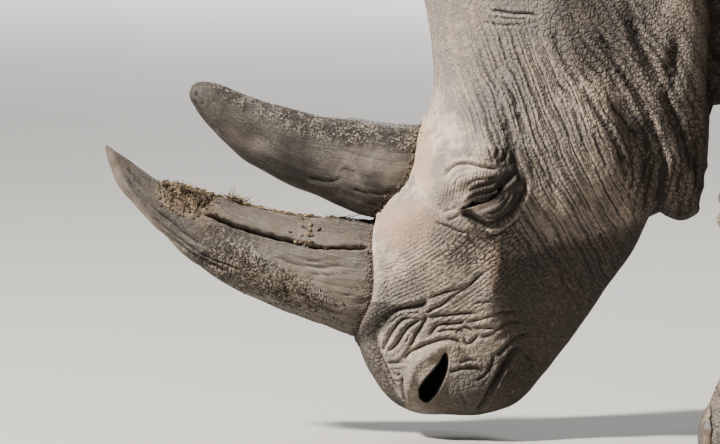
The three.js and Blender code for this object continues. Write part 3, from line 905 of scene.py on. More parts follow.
# Lines of the split and the cracks; each crack has its width and depth.
SPLIT = [(-520, 404), (-492, 396), (-450, 381), (-396, 366), (-352, 356), (-322, 347)]
SPLIT_END = [(-346, 354), (-322, 346), (-280, 345), (-240, 346), (-212, 346)]
FRONT_HORN_CRACKS = [
    ([(-672, 474), (-642, 424), (-600, 380), (-552, 342), (-500, 312), (-455, 292)], 2.6, 5),
    ([(-664, 480), (-632, 438), (-590, 398), (-548, 366), (-505, 340)], 2.4, 4),
    ([(-655, 490), (-620, 452), (-585, 424)], 2.2, 3),
    ([(-620, 408), (-580, 372), (-530, 338), (-480, 314), (-430, 300)], 2, 3),
    ([(-400, 335), (-370, 322), (-330, 313), (-290, 312), (-262, 313)], 3, 3.5),
    ([(-352, 322), (-310, 322), (-262, 325)], 1.8, 1.8),
    ([(-330, 300), (-290, 298), (-245, 300)], 1.6, 1.6),
    ([(-300, 268), (-262, 262), (-240, 262)], 1.6, 1.6),
    ([(-312, 240), (-270, 228), (-246, 224)], 1.8, 1.8),
    ([(-330, 375), (-290, 372), (-240, 374)], 1.8, 1.8),
    ([(-560, 430), (-530, 400), (-500, 385)], 3, 3),
]
REAR_HORN_CRACKS = [
    ([(-252, 452), (-222, 443), (-195, 442), (-168, 448)], 2, 3.4),
    ([(-226, 424), (-200, 421), (-176, 430)], 2, 3),
    ([(-270, 483), (-255, 486), (-240, 481)], 2, 2.4),
    ([(-534, 610), (-526, 592), (-514, 574), (-500, 558), (-486, 544)], 2.6, 5),
    ([(-530, 622), (-520, 606), (-512, 596)], 2.4, 4),
    ([(-330, 468), (-290, 462), (-262, 470)], 3, 2.4),
    ([(-220, 556), (-190, 548), (-150, 544)], 2, 2.4),
    ([(-210, 536), (-180, 532), (-146, 530)], 1.8, 2),
]


def through(values, t):
    """Smooth values between evenly spaced stops, at shares t from 0 to 1."""
    v = np.array(values, float)
    v = np.vstack([2 * v[:1] - v[1:2], v, 2 * v[-1:] - v[-2:-1]])
    place = np.clip(t, 0, 1) * (len(values) - 1)
    k = np.minimum(place.astype(int), len(values) - 2)
    return on_curve(v[k], v[k + 1], v[k + 2], v[k + 3], (place - k)[:, None])


def horn_mesh(name, ribs, rings, sides, square):
    """A horn rolled up from a grid, with its length and girth as its UV map."""
    bm = bmesh.new()
    uv = bm.loops.layers.uv.new("UVMap")
    bmesh.ops.create_grid(bm, x_segments=sides, y_segments=rings, size=0.5)
    for face in bm.faces:
        for loop in face.loops:
            loop[uv].uv = (loop.vert.co.x + 0.5, loop.vert.co.y + 0.5)
    flat = np.array([v.co for v in bm.verts])
    turn = 2 * np.pi * flat[:, 0]
    along = flat[:, 1] + 0.5
    stops = [[*fore, *aft, half] for fore, aft, half in ribs]
    fx, fz, ax, az, half = through(stops, along).T
    cos, sin = np.cos(turn), np.sin(turn)
    to_fore = np.sign(cos) * np.abs(cos) ** (2 / square)
    to_side = np.sign(sin) * np.abs(sin) ** (2 / square)
    share = (1 - to_fore) / 2
    x = fx + (ax - fx) * share
    z = fz + (az - fz) * share
    y = to_side * half
    for v, *spot in zip(bm.verts, x, y, z):
        v.co = (EYES_AT + spot[0] * MM, spot[1] * MM, spot[2] * MM)
    bmesh.ops.remove_doubles(bm, verts=bm.verts, dist=0.02 * MM)
    bmesh.ops.holes_fill(bm, edges=[e for e in bm.edges if e.is_boundary], sides=0)
    bmesh.ops.recalc_face_normals(bm, faces=bm.faces)
    return mesh_from(name, bm)


def fibres(co, along, around, size):
    """Ridges along a horn, as noise that is stretched along it."""
    out = np.empty(len(co))
    for i in range(len(co)):
        turn = 2 * math.pi * around[i]
        spot = Vector((math.cos(turn) * size, math.sin(turn) * size, along[i] * 3))
        out[i] = noise.noise(spot) + 0.5 * noise.noise(2.1 * spot)
    return out


def front_horn_mesh():
    """The front horn, with its fibres, its long split and its cracks."""
    mesh = horn_mesh("front horn", FRONT_HORN, 230, 230, 2.15)
    around, along = vertex_uv(mesh).T
    co = head_places(mesh)
    x, y, z = co.T
    near_foot = 1 - ramp(0.1, 0.35, along)
    heights = 1.5 * fibres(co, along, around, 5) + 0.7 * fibres(co, along, around, 13)
    heights += 2.6 * waves(co, 60, 2.0) + 1.3 * waves(co, 22, 5.0)
    heights += near_foot * 1.6 * fibres(co, along, around, 20)
    heights *= ramp(0, 0.12, 1 - along) * 0.75 + 0.25
    on_left = ramp(4, 16, -y)
    on_right = ramp(4, 16, y)
    jagged_x = x + 1.5 * waves(co, 15, 3.0)
    jagged_z = z + 2.4 * waves(co, 15, 8.0)
    split = [
        Crease(SPLIT, 2.1, 24, 0.6, 0.6),
        Crease(SPLIT_END, 1.5, 14, 0.5),
        Crease([(x0, z0 - 16) for x0, z0 in SPLIT], 10, 4),
    ]
    heights += (on_left + 0.4 * on_right) * folded(split, jagged_x, jagged_z)
    cracks = [Crease(points, width, depth, 0.4) for points, width, depth in FRONT_HORN_CRACKS]
    heights += on_left * folded(cracks, jagged_x, jagged_z)
    push(mesh, heights)
    return mesh


def rear_horn_mesh():
    """The rear horn, smoother, with cracks at its foot and tip."""
    mesh = horn_mesh("rear horn", REAR_HORN, 190, 120, 2.25)
    around, along = vertex_uv(mesh).T
    co = head_places(mesh)
    x, y, z = co.T
    rough = ramp(-0.25, 0.35, (z - 466 + 0.32 * (x + 160)) / 90)
    heights = 1.1 * fibres(co, along, around, 5) + 2.4 * waves(co, 55, 12.0)
    heights += rough * (0.5 * waves(co, 14, 8.0) + 0.5 * waves(co, 7, 3.0))
    heights += (1 - ramp(0.08, 0.3, along)) * 1.6 * fibres(co, along, around, 20)
    heights *= ramp(0, 0.1, 1 - along) * 0.7 + 0.3
    cracks = [Crease(points, width, depth, 0.6) for points, width, depth in REAR_HORN_CRACKS]
    heights += folded(cracks, x, z)
    push(mesh, heights)
    return mesh


# Eyes and toenails


def eyeball_mesh(side):
    """A ball with a clear bulge over the iris, which looks out and a little forward."""
    low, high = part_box(f"{side}_eye")
    centre = (low + high) / 2
    radius = (high - low).length / (2 * math.sqrt(3))
    bm = bmesh.new()
    bmesh.ops.create_uvsphere(bm, u_segments=48, v_segments=32, radius=radius)
    for v in bm.verts:
        bulge = max(0.0, v.co.z / radius - 0.82)
        v.co.z += 0.5 * radius * bulge
    bmesh.ops.recalc_face_normals(bm, faces=bm.faces)
    gaze = Vector((-0.22, SIDES[side], -0.06)).normalized()
    turn = gaze.to_track_quat("Z", "Y").to_matrix().to_4x4()
    bmesh.ops.transform(bm, matrix=Matrix.Translation(centre) @ turn, verts=bm.verts)
    return mesh_from(f"{side} eyeball", bm), centre + gaze * radius


def toenail_mesh(names):
    """The nails as rounded, faintly ribbed horn."""
    bm = node_copy(names)
    nails = voxels(mesh_from("toenails", bm), NAIL_GRAIN)
    smooth_mesh(nails, 6)
    co = head_places(nails)
    push(nails, 0.8 * waves(co, 26) + 0.5 * np.sin(co[:, 2] / 3.2 + 2 * waves(co, 40)))
    co = places(nails)
    co[:, 2] = np.maximum(co[:, 2], 0.5 * MM)
    place_all(nails, co)
    return nails


# Mud, stalks and hair


def clod_lumps(rng, tree):
    """Lumps of mud near the tip, along the top and in the split of the front horn."""
    lumps = []
    for _ in range(190):
        t = rng.random()
        x = -586 + 88 * t
        drop = rng.random() ** 1.4 * 38 * math.sin(math.pi * (0.1 + 0.75 * t))
        spot = on_horn(tree, x, 452 - 0.30 * (x + 592) - drop, rng.uniform(-1, 0.5))
        lumps.append(lump(spot, rng.uniform(2.2, 6.0), rng))
    for _ in range(90):
        x = rng.uniform(-505, -240)
        z = 436 - 0.165 * (x + 505) + rng.uniform(-8, 2)
        spot = on_horn(tree, x, z, rng.uniform(-1, 0.6))
        lumps.append(lump(spot, rng.uniform(2, 5), rng))
    for _ in range(34):
        spot = on_horn(tree, rng.gauss(-331, 11), rng.gauss(366, 13), -1)
        lumps.append(lump(spot, rng.uniform(1.6, 4.4), rng))
    return lumps


def crumb_lumps(rng, tree, count):
    """Crumbs round the clods, along the top and on the lower front of the horn."""
    crumbs = []
    for _ in range(count):
        pick = rng.random()
        if pick < 0.34:
            x, z = rng.gauss(-546, 22), rng.gauss(428, 11)
            size = rng.uniform(1.0, 3.0)
        elif pick < 0.5:
            x = rng.uniform(-520, -230)
            z = 440 - 0.165 * (x + 505) - abs(rng.gauss(0, 7))
            size = rng.uniform(0.9, 2.4)
        else:
            x = rng.uniform(-500, -262)
            z = 262 - 0.42 * (x + 380) + rng.gauss(4, 16)
            size = rng.uniform(0.8, 2.2)
        spot = on_horn(tree, x, z, -1 if rng.random() < 0.7 else 1)
        crumbs.append(lump(spot, size, rng))
    return crumbs


def rootlet_strands(rng, tree, count, in_clod):
    """Rootlets that hang out of the big clod, and the rest further down the horn."""
    rootlets = []
    for k in range(count):
        x, z = (rng.gauss(-544, 24), 436) if k < in_clod else (rng.gauss(-456, 8), 424)
        drop = rng.random() ** 1.5 * (34 if k < in_clod else 6)
        place, normal = on_horn(tree, x, z - 0.3 * (x + 544) * (k < in_clod) - drop, -0.8)
        toss = Vector((rng.gauss(0, 0.8), rng.gauss(-0.2, 0.5), rng.gauss(0.4, 0.6)))
        aim = (0.7 * normal + toss).normalized()
        bend = Vector((rng.gauss(0, 0.6), rng.gauss(0, 0.5), rng.gauss(-0.2, 0.5)))
        size = rng.uniform(8, 22) * MM, rng.uniform(1.4, 2.6) * MM
        rootlets.append((place + 3 * MM * normal, aim, *size, bend))
    return rootlets


def mud_mesh(rng, tree):
    """Caked mud on the front horn, with its crumbs and rootlets."""
    clods = voxels(lumps_mesh("clods", clod_lumps(rng, tree), 2), MUD_GRAIN)
    co = head_places(clods)
    push(clods, 3.0 * waves(co, 9) + 3.2 * waves(co, 4, 4.0))
    bm = bmesh.new()
    bm.from_mesh(clods)
    bm.from_mesh(lumps_mesh("crumbs", crumb_lumps(rng, tree, 1500), 1))
    bm.from_mesh(strands_mesh("rootlets", rootlet_strands(rng, tree, 150, 100)))
    mud = mesh_from("dry mud", bm)
    x, y, z = head_places(mud).T
    # painted shade in the hollows of the mud and in one patch of it
    shade = 0.5 * within(x, z, (-508, 412), (26, 24), 0, 0.6)
    marked(mud, hollow=ramp(-0.1, 1.3, sunk(mud)) + shade)
    return mud


def foot_crumbs(rng, hide, horns, count):
    """Flakes of skin and dirt in the joint between the hide and each horn."""
    skin = tree_of(hide)
    flakes = []
    for horn in horns:
        joint = [
            v
            for v, (_, along) in zip(horn.vertices, vertex_uv(horn))
            if along < 0.3 and skin.find_nearest(v.co, 0.012)[0] is not None
        ]
        for _ in range(count):
            vert = rng.choice(joint)
            beside = Vector((rng.gauss(4, 6), rng.gauss(0, 4), rng.gauss(0, 6))) * MM
            hit, normal, _, _ = skin.find_nearest(vert.co + beside)
            spot = (vert.co, vert.normal) if rng.random() < 0.45 else (hit, normal)
            flakes.append(lump(spot, rng.uniform(0.8, 3.0), rng))
    return lumps_mesh("dry flakes", flakes, 1)


def on_horn(tree, x, z, side):
    """The point of the horn's surface beside (x, z), on the side of sign `side`."""
    start = Vector((EYES_AT + x * MM, 0.2 * math.copysign(1, side), z * MM))
    aim = Vector((0, -math.copysign(1, side), 0))
    hit, normal, _, _ = tree.ray_cast(start, aim)
    if hit is None:
        target = Vector((EYES_AT + x * MM, 0.012 * side, z * MM))
        hit, normal, _, _ = tree.find_nearest(target)
    elif abs(side) < 1:
        hit, normal, _, _ = tree.find_nearest(Vector((hit.x, hit.y * abs(side), hit.z + 0.02)))
    return hit, normal


def lump(spot, size, rng):
    """The matrix that makes a ball of radius 1 a flattened lump on a surface."""
    place, normal = spot
    shape = Matrix.Diagonal(
        (rng.uniform(0.7, 1.5), rng.uniform(0.7, 1.4), rng.uniform(0.5, 0.9), 1)
    )
    turn = Vector((normal.x, normal.y, normal.z)).to_track_quat("Z", "Y")
    return (
        Matrix.Translation(place)
        @ turn.to_matrix().to_4x4()
        @ Matrix.Rotation(rng.uniform(0, math.tau), 4, "Z")
        @ shape
        @ Matrix.Scale(size * MM, 4)
    )


def lumps_mesh(name, matrices, subdivisions):
    """A ball for each matrix, all in one mesh."""
    bm = bmesh.new()
    bmesh.ops.create_icosphere(bm, subdivisions=subdivisions, radius=1)
    ball = mesh_from("ball", bm)
    own = [v.co.copy() for v in ball.vertices]
    bm = bmesh.new()
    for _ in matrices:
        bm.from_mesh(ball)
    for i, vert in enumerate(bm.verts):
        vert.co = matrices[i // len(own)] @ own[i % len(own)]
    return mesh_from(name, bm)


def strand_shape():
    """A thin tapered strand, 1 long and 1 wide, standing on the origin."""
    bm = bmesh.new()
    bmesh.ops.create_cone(
        bm, cap_ends=True, segments=4, radius1=0.5, radius2=0.1, depth=1
    )
    upright = [e for e in bm.edges if abs(e.verts[0].co.z - e.verts[1].co.z) > 0.5]
    bmesh.ops.subdivide_edges(bm, edges=upright, cuts=3)
    bmesh.ops.translate(bm, verts=bm.verts, vec=(0, 0, 0.5))
    return mesh_from("strand", bm)


def strands_mesh(name, strands, layout=None):
    """Many strands as one mesh.

    Each strand is (root, aim, length, width, bend), in metres, and curves towards its
    bend. A layout gives the place of a root on the bake map: its strand is a small patch.
    """
    shape = strand_shape()
    bm = bmesh.new()
    layer = bm.loops.layers.uv.new("OFBake") if layout else None
    for _ in strands:
        bm.from_mesh(shape)
    own = [v.co.copy() for v in shape.vertices]
    turns = [aim.to_track_quat("Z", "Y").to_matrix() for _, aim, _, _, _ in strands]
    if layout:
        patch = 0.0015
        spots = [layout(root) for root, _, _, _, _ in strands]
        for i, face in enumerate(bm.faces):
            u, v = spots[i // len(shape.polygons)]
            for loop in face.loops:
                co = own[loop.vert.index % len(own)]
                loop[layer].uv = (u + patch * co.x, v + patch * (co.z + 0.5 * co.y))
    for i, vert in enumerate(bm.verts):
        root, _, length, width, bend = strands[i // len(own)]
        co = own[i % len(own)]
        thin = Vector((co.x * width, co.y * width, co.z * length))
        vert.co = root + turns[i // len(own)] @ thin + bend * (length * co.z**2)
    return mesh_from(name, bm)


def stalk_mesh(rng, tree, count):
    """Dry stalks that stick in the mud along the top of the horn."""
    strands = []
    for _ in range(count):
        x = rng.uniform(-560, -250)
        z = 446 - 0.16 * (x + 560) + rng.uniform(-10, 4)
        place, normal = on_horn(tree, x, z, rng.choice((-0.6, -0.3, 0.4)))
        along = Vector((rng.choice((-1, 1)), rng.uniform(-0.5, 0.5), rng.uniform(-0.3, 0.25)))
        aim = (along + 0.35 * normal).normalized()
        length = rng.uniform(12, 42) * MM
        bend = Vector((rng.uniform(-0.2, 0.2), rng.uniform(-0.3, 0.3), rng.uniform(-0.3, 0.1)))
        strands.append((place, aim, length, rng.uniform(0.9, 1.9) * MM, bend))
    for x, length, lean in ((-474, 34, 0.9), (-468, 26, 0.3), (-478, 30, 1.6), (-462, 30, 1.2),
                            (-455, 22, 0.5), (-470, 18, 2.2)):
        place, normal = on_horn(tree, x, 430, -0.4)
        aim = Vector((lean, -0.3, 0.8)).normalized()
        strands.append((place, aim, length * MM, 1.8 * MM, Vector((0.3, 0, -0.4))))
    for _ in range(26):
        place, normal = on_horn(tree, rng.gauss(-452, 9), 428, -0.4)
        aim = Vector((rng.gauss(0.4, 1), rng.gauss(-0.3, 0.6), rng.uniform(0.2, 1))).normalized()
        bend = Vector((rng.gauss(0, 0.5), rng.gauss(0, 0.5), rng.gauss(-0.3, 0.4)))
        strands.append((place, aim, rng.uniform(8, 20) * MM, rng.uniform(1.6, 2.8) * MM, bend))
    return strands_mesh("dry stalks", strands)


def hide_unwrap(hide):
    """A flat layout of a coarse copy of the hide, to look up a root's place in it."""
    coarse = voxels(hide.copy(), 45 * MM)
    holder = add_object("layout", coarse)
    bpy.context.view_layer.objects.active = holder
    holder.select_set(True)
    bpy.ops.object.mode_set(mode="EDIT")
    bpy.ops.mesh.select_all(action="SELECT")
    bpy.ops.uv.smart_project(angle_limit=1.15, island_margin=0.004)
    bpy.ops.object.mode_set(mode="OBJECT")
    uv = read_all(coarse.uv_layers.active.data, "uv", 2)
    middles = [uv[list(p.loop_indices)].mean(0) for p in coarse.polygons]
    tree = tree_of(coarse)
    bpy.data.objects.remove(holder)
    return lambda place: middles[tree.find_nearest(place)[2]]


def lash_roots(rng, hide):
    """Short lashes along the upper lids, pointing out and down."""
    tree = tree_of(hide)
    lid = smooth_line(UPPER_LID[1:-1], 2.0)
    out = []
    for side in SIDES.values():
        for x, z in lid:
            for _ in range(2):
                start = Vector((EYES_AT + x * MM, side * 0.3, (z + 2.5) * MM))
                place = tree.ray_cast(start, Vector((0, -side, 0)))[0]
                aim = Vector((rng.uniform(-0.5, 0.1), side * 1.1, -0.9)).normalized()
                length = rng.uniform(7, 12) * MM
                bend = Vector((-0.1, side * 0.15, -0.15))
                out.append((place, aim, length, 1.1 * MM, bend))
    return out


def fringe_roots(rng, hide, count):
    """Bristles on the rims of the ears."""
    co = places(hide)
    x, y, z = head_places(hide).T
    facing = normals(hide)
    out = []
    for side in SIDES.values():
        on_ear = np.flatnonzero((y * side > 100) & (z > 990) & (x < 10) & (x > -190))
        centre = co[on_ear].mean(0)
        pairs = [
            (np.dot(facing[i], (co[i] - centre) / np.linalg.norm(co[i] - centre)), i)
            for i in on_ear
            if np.linalg.norm(co[i] - centre) > 0.04
        ]
        rim = [i for score, i in sorted(pairs, reverse=True)[: len(pairs) // 3]]
        for i in rng.choices(rim, k=count):
            away = Vector(facing[i])
            lift = Vector((rng.gauss(0, 0.2), rng.gauss(0, 0.2), rng.uniform(0.5, 0.9)))
            aim = (0.7 * away + lift).normalized()
            length = rng.uniform(12, 30) * MM
            out.append((Vector(co[i]), aim, length, 1.3 * MM, Vector((0, 0, 0.15))))
    return out


def tail_roots(rng, hide, count):
    """Wiry bristles at the end of the tail."""
    co = places(hide)
    x, y, z = head_places(hide).T
    facing = normals(hide)
    low = list(np.flatnonzero((x > 2620) & (z < 930) & (z > 730) & (np.abs(y) < 60)))
    out = []
    for _ in range(count):
        i = rng.choice(low)
        share = (930 - z[i]) / 200
        if abs(facing[i][0]) < 0.5 and rng.random() > 0.3 + 0.7 * share:
            continue
        away = Vector(facing[i])
        aim = (0.45 * away + Vector((rng.gauss(0, 0.08), rng.gauss(0, 0.08), -1))).normalized()
        length = rng.uniform(90, 190) * (0.5 + 0.6 * share) * MM
        out.append((Vector(co[i]), aim, length, 3.2 * MM, Vector((0.04, 0, -0.12))))
    return out


# Finishes


class Link:
    """A socket that sums and products can be written with: each adds a Math node."""

    def __init__(self, finish, socket):
        self.finish = finish
        self.socket = socket

    def math(self, operation, *others):
        return self.finish.add("ShaderNodeMath", {"operation": operation}, [self, *others])

    def __add__(self, other):
        return self.math("ADD", other)

    def __sub__(self, other):
        return self.math("SUBTRACT", other)

    def __rsub__(self, other):
        return self.finish.add("ShaderNodeMath", {"operation": "SUBTRACT"}, [other, self])

    def __mul__(self, other):
        return self.math("MULTIPLY", other)

    def __pow__(self, other):
        return self.math("POWER", other)

    __radd__ = __add__
    __rmul__ = __mul__


class Finish:
    """A material that is built up from nodes, from its texture coordinates to its shader."""

    def __init__(self, name):
        self.material = bpy.data.materials.new(name)
        self.material.use_nodes = True
        self.tree = self.material.node_tree
        self.tree.nodes.clear()

    def add(self, kind, settings=None, values=None, output=0):
        """A node of that kind: its settings first, then values or links of its sockets."""
        node = self.tree.nodes.new(kind)
        for key, value in (settings or {}).items():
            setattr(node, key, value)
        pairs = values.items() if isinstance(values, dict) else enumerate(values or [])
        for key, value in pairs:
            named = [s for s in node.inputs if s.identifier == key or s.name == key]
            socket = node.inputs[key] if isinstance(key, int) else named[0]
            if isinstance(value, Link):
                self.tree.links.new(value.socket, socket)
            elif socket.type == "RGBA":
                socket.default_value = (*value[:3], 1)
            else:
                socket.default_value = value
        if output is None:
            return None
        found = [s for s in node.outputs if s.identifier == output or s.name == output]
        return Link(self, found[0] if found else node.outputs[output])

    def spot(self):
        return self.add("ShaderNodeTexCoord", output="Object")

    def scaled(self, source, scale, turn=0.0):
        """Coordinates turned in the side view by `turn` degrees, then scaled."""
        turned = self.add(
            "ShaderNodeMapping", {}, {"Vector": source, "Rotation": (0, math.radians(turn), 0)}
        )
        return self.add("ShaderNodeMapping", {}, {"Vector": turned, "Scale": scale})

    def noise(self, source, scale, detail=3.0, rough=0.55):
        return self.add(
            "ShaderNodeTexNoise",
            {},
            {"Vector": source, "Scale": scale, "Detail": detail, "Roughness": rough},
        )

    def cracks(self, source, scale):
        """Distance to the nearest edge of a mosaic of cells."""
        return self.add(
            "ShaderNodeTexVoronoi",
            {"feature": "DISTANCE_TO_EDGE"},
            {"Vector": source, "Scale": scale},
        )

    def bent(self, source, scale, share):
        """Coordinates pushed about by noise, by `share` metres."""
        push_by = self.add("ShaderNodeTexNoise", {}, {"Vector": source, "Scale": scale}, 1)
        return self.add(
            "ShaderNodeVectorMath",
            {"operation": "MULTIPLY_ADD"},
            [push_by, (share, share, share), source],
        )

    def pads(self, source, scale):
        """A mosaic of rounded pads: 0 in the cracks between them, 1 on top."""
        edge = self.cracks(source, scale)
        return self.between(edge, 0.0, 0.32) ** 0.7

    def wrinkles(self, flow, spacing, wander):
        """Rounded folds between long sharp lines, which lie `spacing` apart in a flow."""
        across = self.add("ShaderNodeSeparateXYZ", {}, [flow])
        drift = self.noise(self.scaled(flow, (9.0, 9.0, 6.0)), 1.0, 4)
        phase = across * (math.pi / spacing) + drift * wander
        lines = phase.math("SINE").math("ABSOLUTE") ** 0.5
        fade = self.between(self.noise(self.scaled(flow, (50.0, 50.0, 14.0)), 1.0), 0.28, 0.5)
        return 1 - fade * (1 - lines)

    def between(self, value, low, high):
        return self.add(
            "ShaderNodeMapRange",
            {"interpolation_type": "SMOOTHSTEP"},
            {"Value": value, "From Min": low, "From Max": high},
        )

    def attribute(self, name, output="Fac"):
        return self.add("ShaderNodeAttribute", {"attribute_name": name}, output=output)

    def mixed(self, share, first, second):
        return self.add(
            "ShaderNodeMix",
            {"data_type": "RGBA"},
            {"Factor_Float": share, "A_Color": first, "B_Color": second},
            output="Result_Color",
        )

    def multiplied(self, colour, value):
        return self.add(
            "ShaderNodeVectorMath", {"operation": "SCALE"}, {"Vector": colour, "Scale": value}
        )

    def bump(self, height, distance):
        """A height counted in units of `distance`, as a normal."""
        return self.add(
            "ShaderNodeBump", {}, {"Height": height, "Distance": distance, "Strength": 1.0}
        )

    def surface(self, **sockets):
        values = {key.replace("_", " "): value for key, value in sockets.items()}
        shader = self.add("ShaderNodeBsdfPrincipled", {}, values)
        self.add("ShaderNodeOutputMaterial", {}, {"Surface": shader}, output=None)
        return self.material


def sunk(mesh):
    """How far each vertex lies below its surroundings, in millimetres."""
    co = places(mesh) / MM
    even = smoothed(co, edge_pairs(mesh), 5, keep_size=False)
    return ((even - co) * normals(mesh)).sum(1)


def marked(mesh, **masks):
    """Stores a number or a vector for each vertex, for the finish to read."""
    for name, values in masks.items():
        values = np.asarray(values, np.float32)
        kind, key = ("FLOAT", "value") if values.ndim == 1 else ("FLOAT_VECTOR", "vector")
        layer = mesh.attributes.new(name, kind, "POINT")
        layer.data.foreach_set(key, values.ravel())


def flow_along(mesh, guide):
    """How far the vertices lie across and along a guide line, in metres."""
    co = head_places(mesh)
    x, y, z = co.T
    near = (x < 620) & (z < 1500)
    away, along = to_line(x[near], z[near], guide, 12.0)
    line = smooth_line(guide, 12.0)
    length = np.hypot(*(line[1:] - line[:-1]).T).sum()
    away += 5 * waves(co[near], 70, 2.0)
    flow = np.zeros((len(x), 3), np.float32)
    flow[near] = np.stack([away, 0.6 * y[near], along * length], 1) * MM
    return flow


# Soft patches of the head that make up its marks: strength, centre, radii, turn, soft rim.
EYE_SHADE = [
    (1, (18, 440), (54, 23), 50, 0.5),
    (-0.8, (-10, 425), (27, 10), 22, 0.6),
    (2.6, (4, 465), (38, 13), 26, 0.7),
    (0.6, (-36, 447), (18, 6), 36, 0.7),
    (0.8, (28, 500), (19, 38), -6, 0.7),
    (1.9, (-35, 407), (26, 10), -40, 0.6),
    (1.1, (29, 424), (30, 13), 48, 0.6),
]
BARE_SKIN = [
    (0.4, (-112, 340), (66, 105), -35, 0.5),
    (1, (-162, 392), (56, 38), 12, 0.6),
    (0.7, (4, 318), (26, 56), -8, 0.6),
    (1, (-132, 530), (26, 80), 12, 0.6),
]
# Dust, and painted light on the lit forehead, crest of the face and jaw muscle.
DUST_AND_LIGHT_SKIN = [
    (1, (-130, 400), (100, 190), -12, 0.6),
    (0.5, (-14, 300), (40, 80), -8, 0.7),
    (1, (190, 555), (84, 160), 25, 0.7),
]
HORN_CRUST = [
    (1.1, (-412, 284), (135, 36), -22, 0.6),
    (0.7, (-450, 350), (66, 26), -30, 0.7),
    (0.5, (-210, 280), (34, 110), 4, 0.7),
]
HORN_DIRT = [
    (0.36, (-410, 300), (115, 46), -22, 0.5),
    (0.8, (-545, 425), (70, 30), -20, 0.5),
]
# Wear on the flank by the foot, and a painted highlight band a third of the way from the tip.
REAR_HORN_WEAR_AND_HIGHLIGHT = [
    (1, (-200, 478), (84, 40), -12, 0.5),
    (0.7, (-436, 531), (46, 13), -22, 0.6),
]

# The front edge of the nose: z, then x. In front of it lies the painted shadow of the front horn.
NOSE_EDGE = ([60, 105, 136, 173, 200, 232], [-151, -179, -193, -200, -202, -178])


def mark_hide(hide):
    """Masks of the hide: painted shade in hollows, grain, stains, dust with painted light, dried
    mud.
    """
    x, y, z = head_places(hide).T
    co = places(hide) / MM
    pairs = edge_pairs(hide)
    reach = np.linalg.norm(co[pairs[:, 0]] - co[pairs[:, 1]], axis=1)
    count = np.maximum(np.bincount(pairs.ravel(), minlength=len(x)), 1)
    face_size = np.bincount(pairs.ravel(), np.repeat(reach, 2), len(x)) / count
    fine = sunk(hide) / face_size
    on_head = ramp(0, 1, (470 - x) / 160) * ramp(0, 1, (1250 - z) / 200)
    neck = ramp(0, 1, (x + 0.10 * z - 250) / 90) * ramp(0, 1, (600 - x) / 260)
    neck *= ramp(0, 1, (1470 - z) / 330) * (1 - ramp(420, 480, x) * ramp(780, 640, z))
    by_eye = within(x, z, (-8, 444), (70, 54), 28, 0.3)
    eye_shade = painted(x, z, EYE_SHADE)
    # painted shadow under the foot of the front horn
    under_horn_shadow = within(x, z, (-204, 210), (38, 13), 42, 0.7)
    nose_front = np.where(z < 250, np.interp(z, *NOSE_EDGE) - x, -100)
    # painted shade: black deep in the eye openings and the nostrils
    pits = np.zeros(len(x))
    for outline, innermost, full in ((EYE_OPENING, 80, 1.2), (NOSTRIL, 5, 3.0)):
        near, into = by_opening(x, y, z, outline, innermost)
        pits[near] = np.maximum(pits[near], ramp(-2.0, full, into))
    marked(
        hide,
        # painted shade: darker in the creases, round the eyes and under the front horn
        hollow=ramp(0.06, 0.62, fine) * (1 - 0.4 * neck) + 0.6 * eye_shade + under_horn_shadow,
        crest=ramp(0.05, 0.5, -fine),
        pit=pits,
        head=on_head,
        cheek=within(x, z, (102, 500), (118, 250), 25, 0.35) * (1 - by_eye),
        jaw=within(x, z, (262, 610), (100, 260), 22, 0.35),
        neck=neck,
        muzzle=within(x, z, (-70, 290), (150, 85), 30, 0.4),
        pebbled=within(x, z, (-18, 352), (78, 34), 12, 0.45),
        smooth=within(x, z, (-110, 480), (70, 190), -8, 0.5),
        bare=painted(x, z, BARE_SKIN),
        # dust, and painted light where the forehead, face crest and jaw muscle are lit
        dusty=painted(x, z, DUST_AND_LIGHT_SKIN),
        # painted shade: jaw, lips and chin, the ear's shadow on the temple, the horn's shadow on
        # the nose
        clean=ramp(-26, 34, 330 + 0.25 * x - z) * ramp(-30, 60, x + 0.14 * (z - 200))
        * ramp(0, 1, (430 - x) / 120)
        + 0.8 * within(x, z, (-14, 88), (108, 66), 8, 0.5)
        + 0.8 * within(x, z, (178, 744), (78, 96), 24, 0.6)
        + 1.1 * ramp(-4, 8, nose_front),
        ribbed=within(x, z, (-40, 466), (46, 20), 20, 0.5),
        soil=ramp(0, 1, (z + 90 * waves(co, 160) + 20 * waves(co, 30) - 620) / -420)
        * (1 - 0.75 * on_head),
    )
    marked(hide, **{f"{name} flow": flow_along(hide, at) for name, at in FLOW_LINES.items()})


# the colour of the painted shade deep in the eye openings and nostrils
PIT_SHADE = (0.002, 0.0015, 0.0015)
PUPIL_BLACK = (0.004, 0.004, 0.005)
EYE_RIM = (0.006, 0.004, 0.004)
EYE_WHITE = (0.035, 0.018, 0.015)


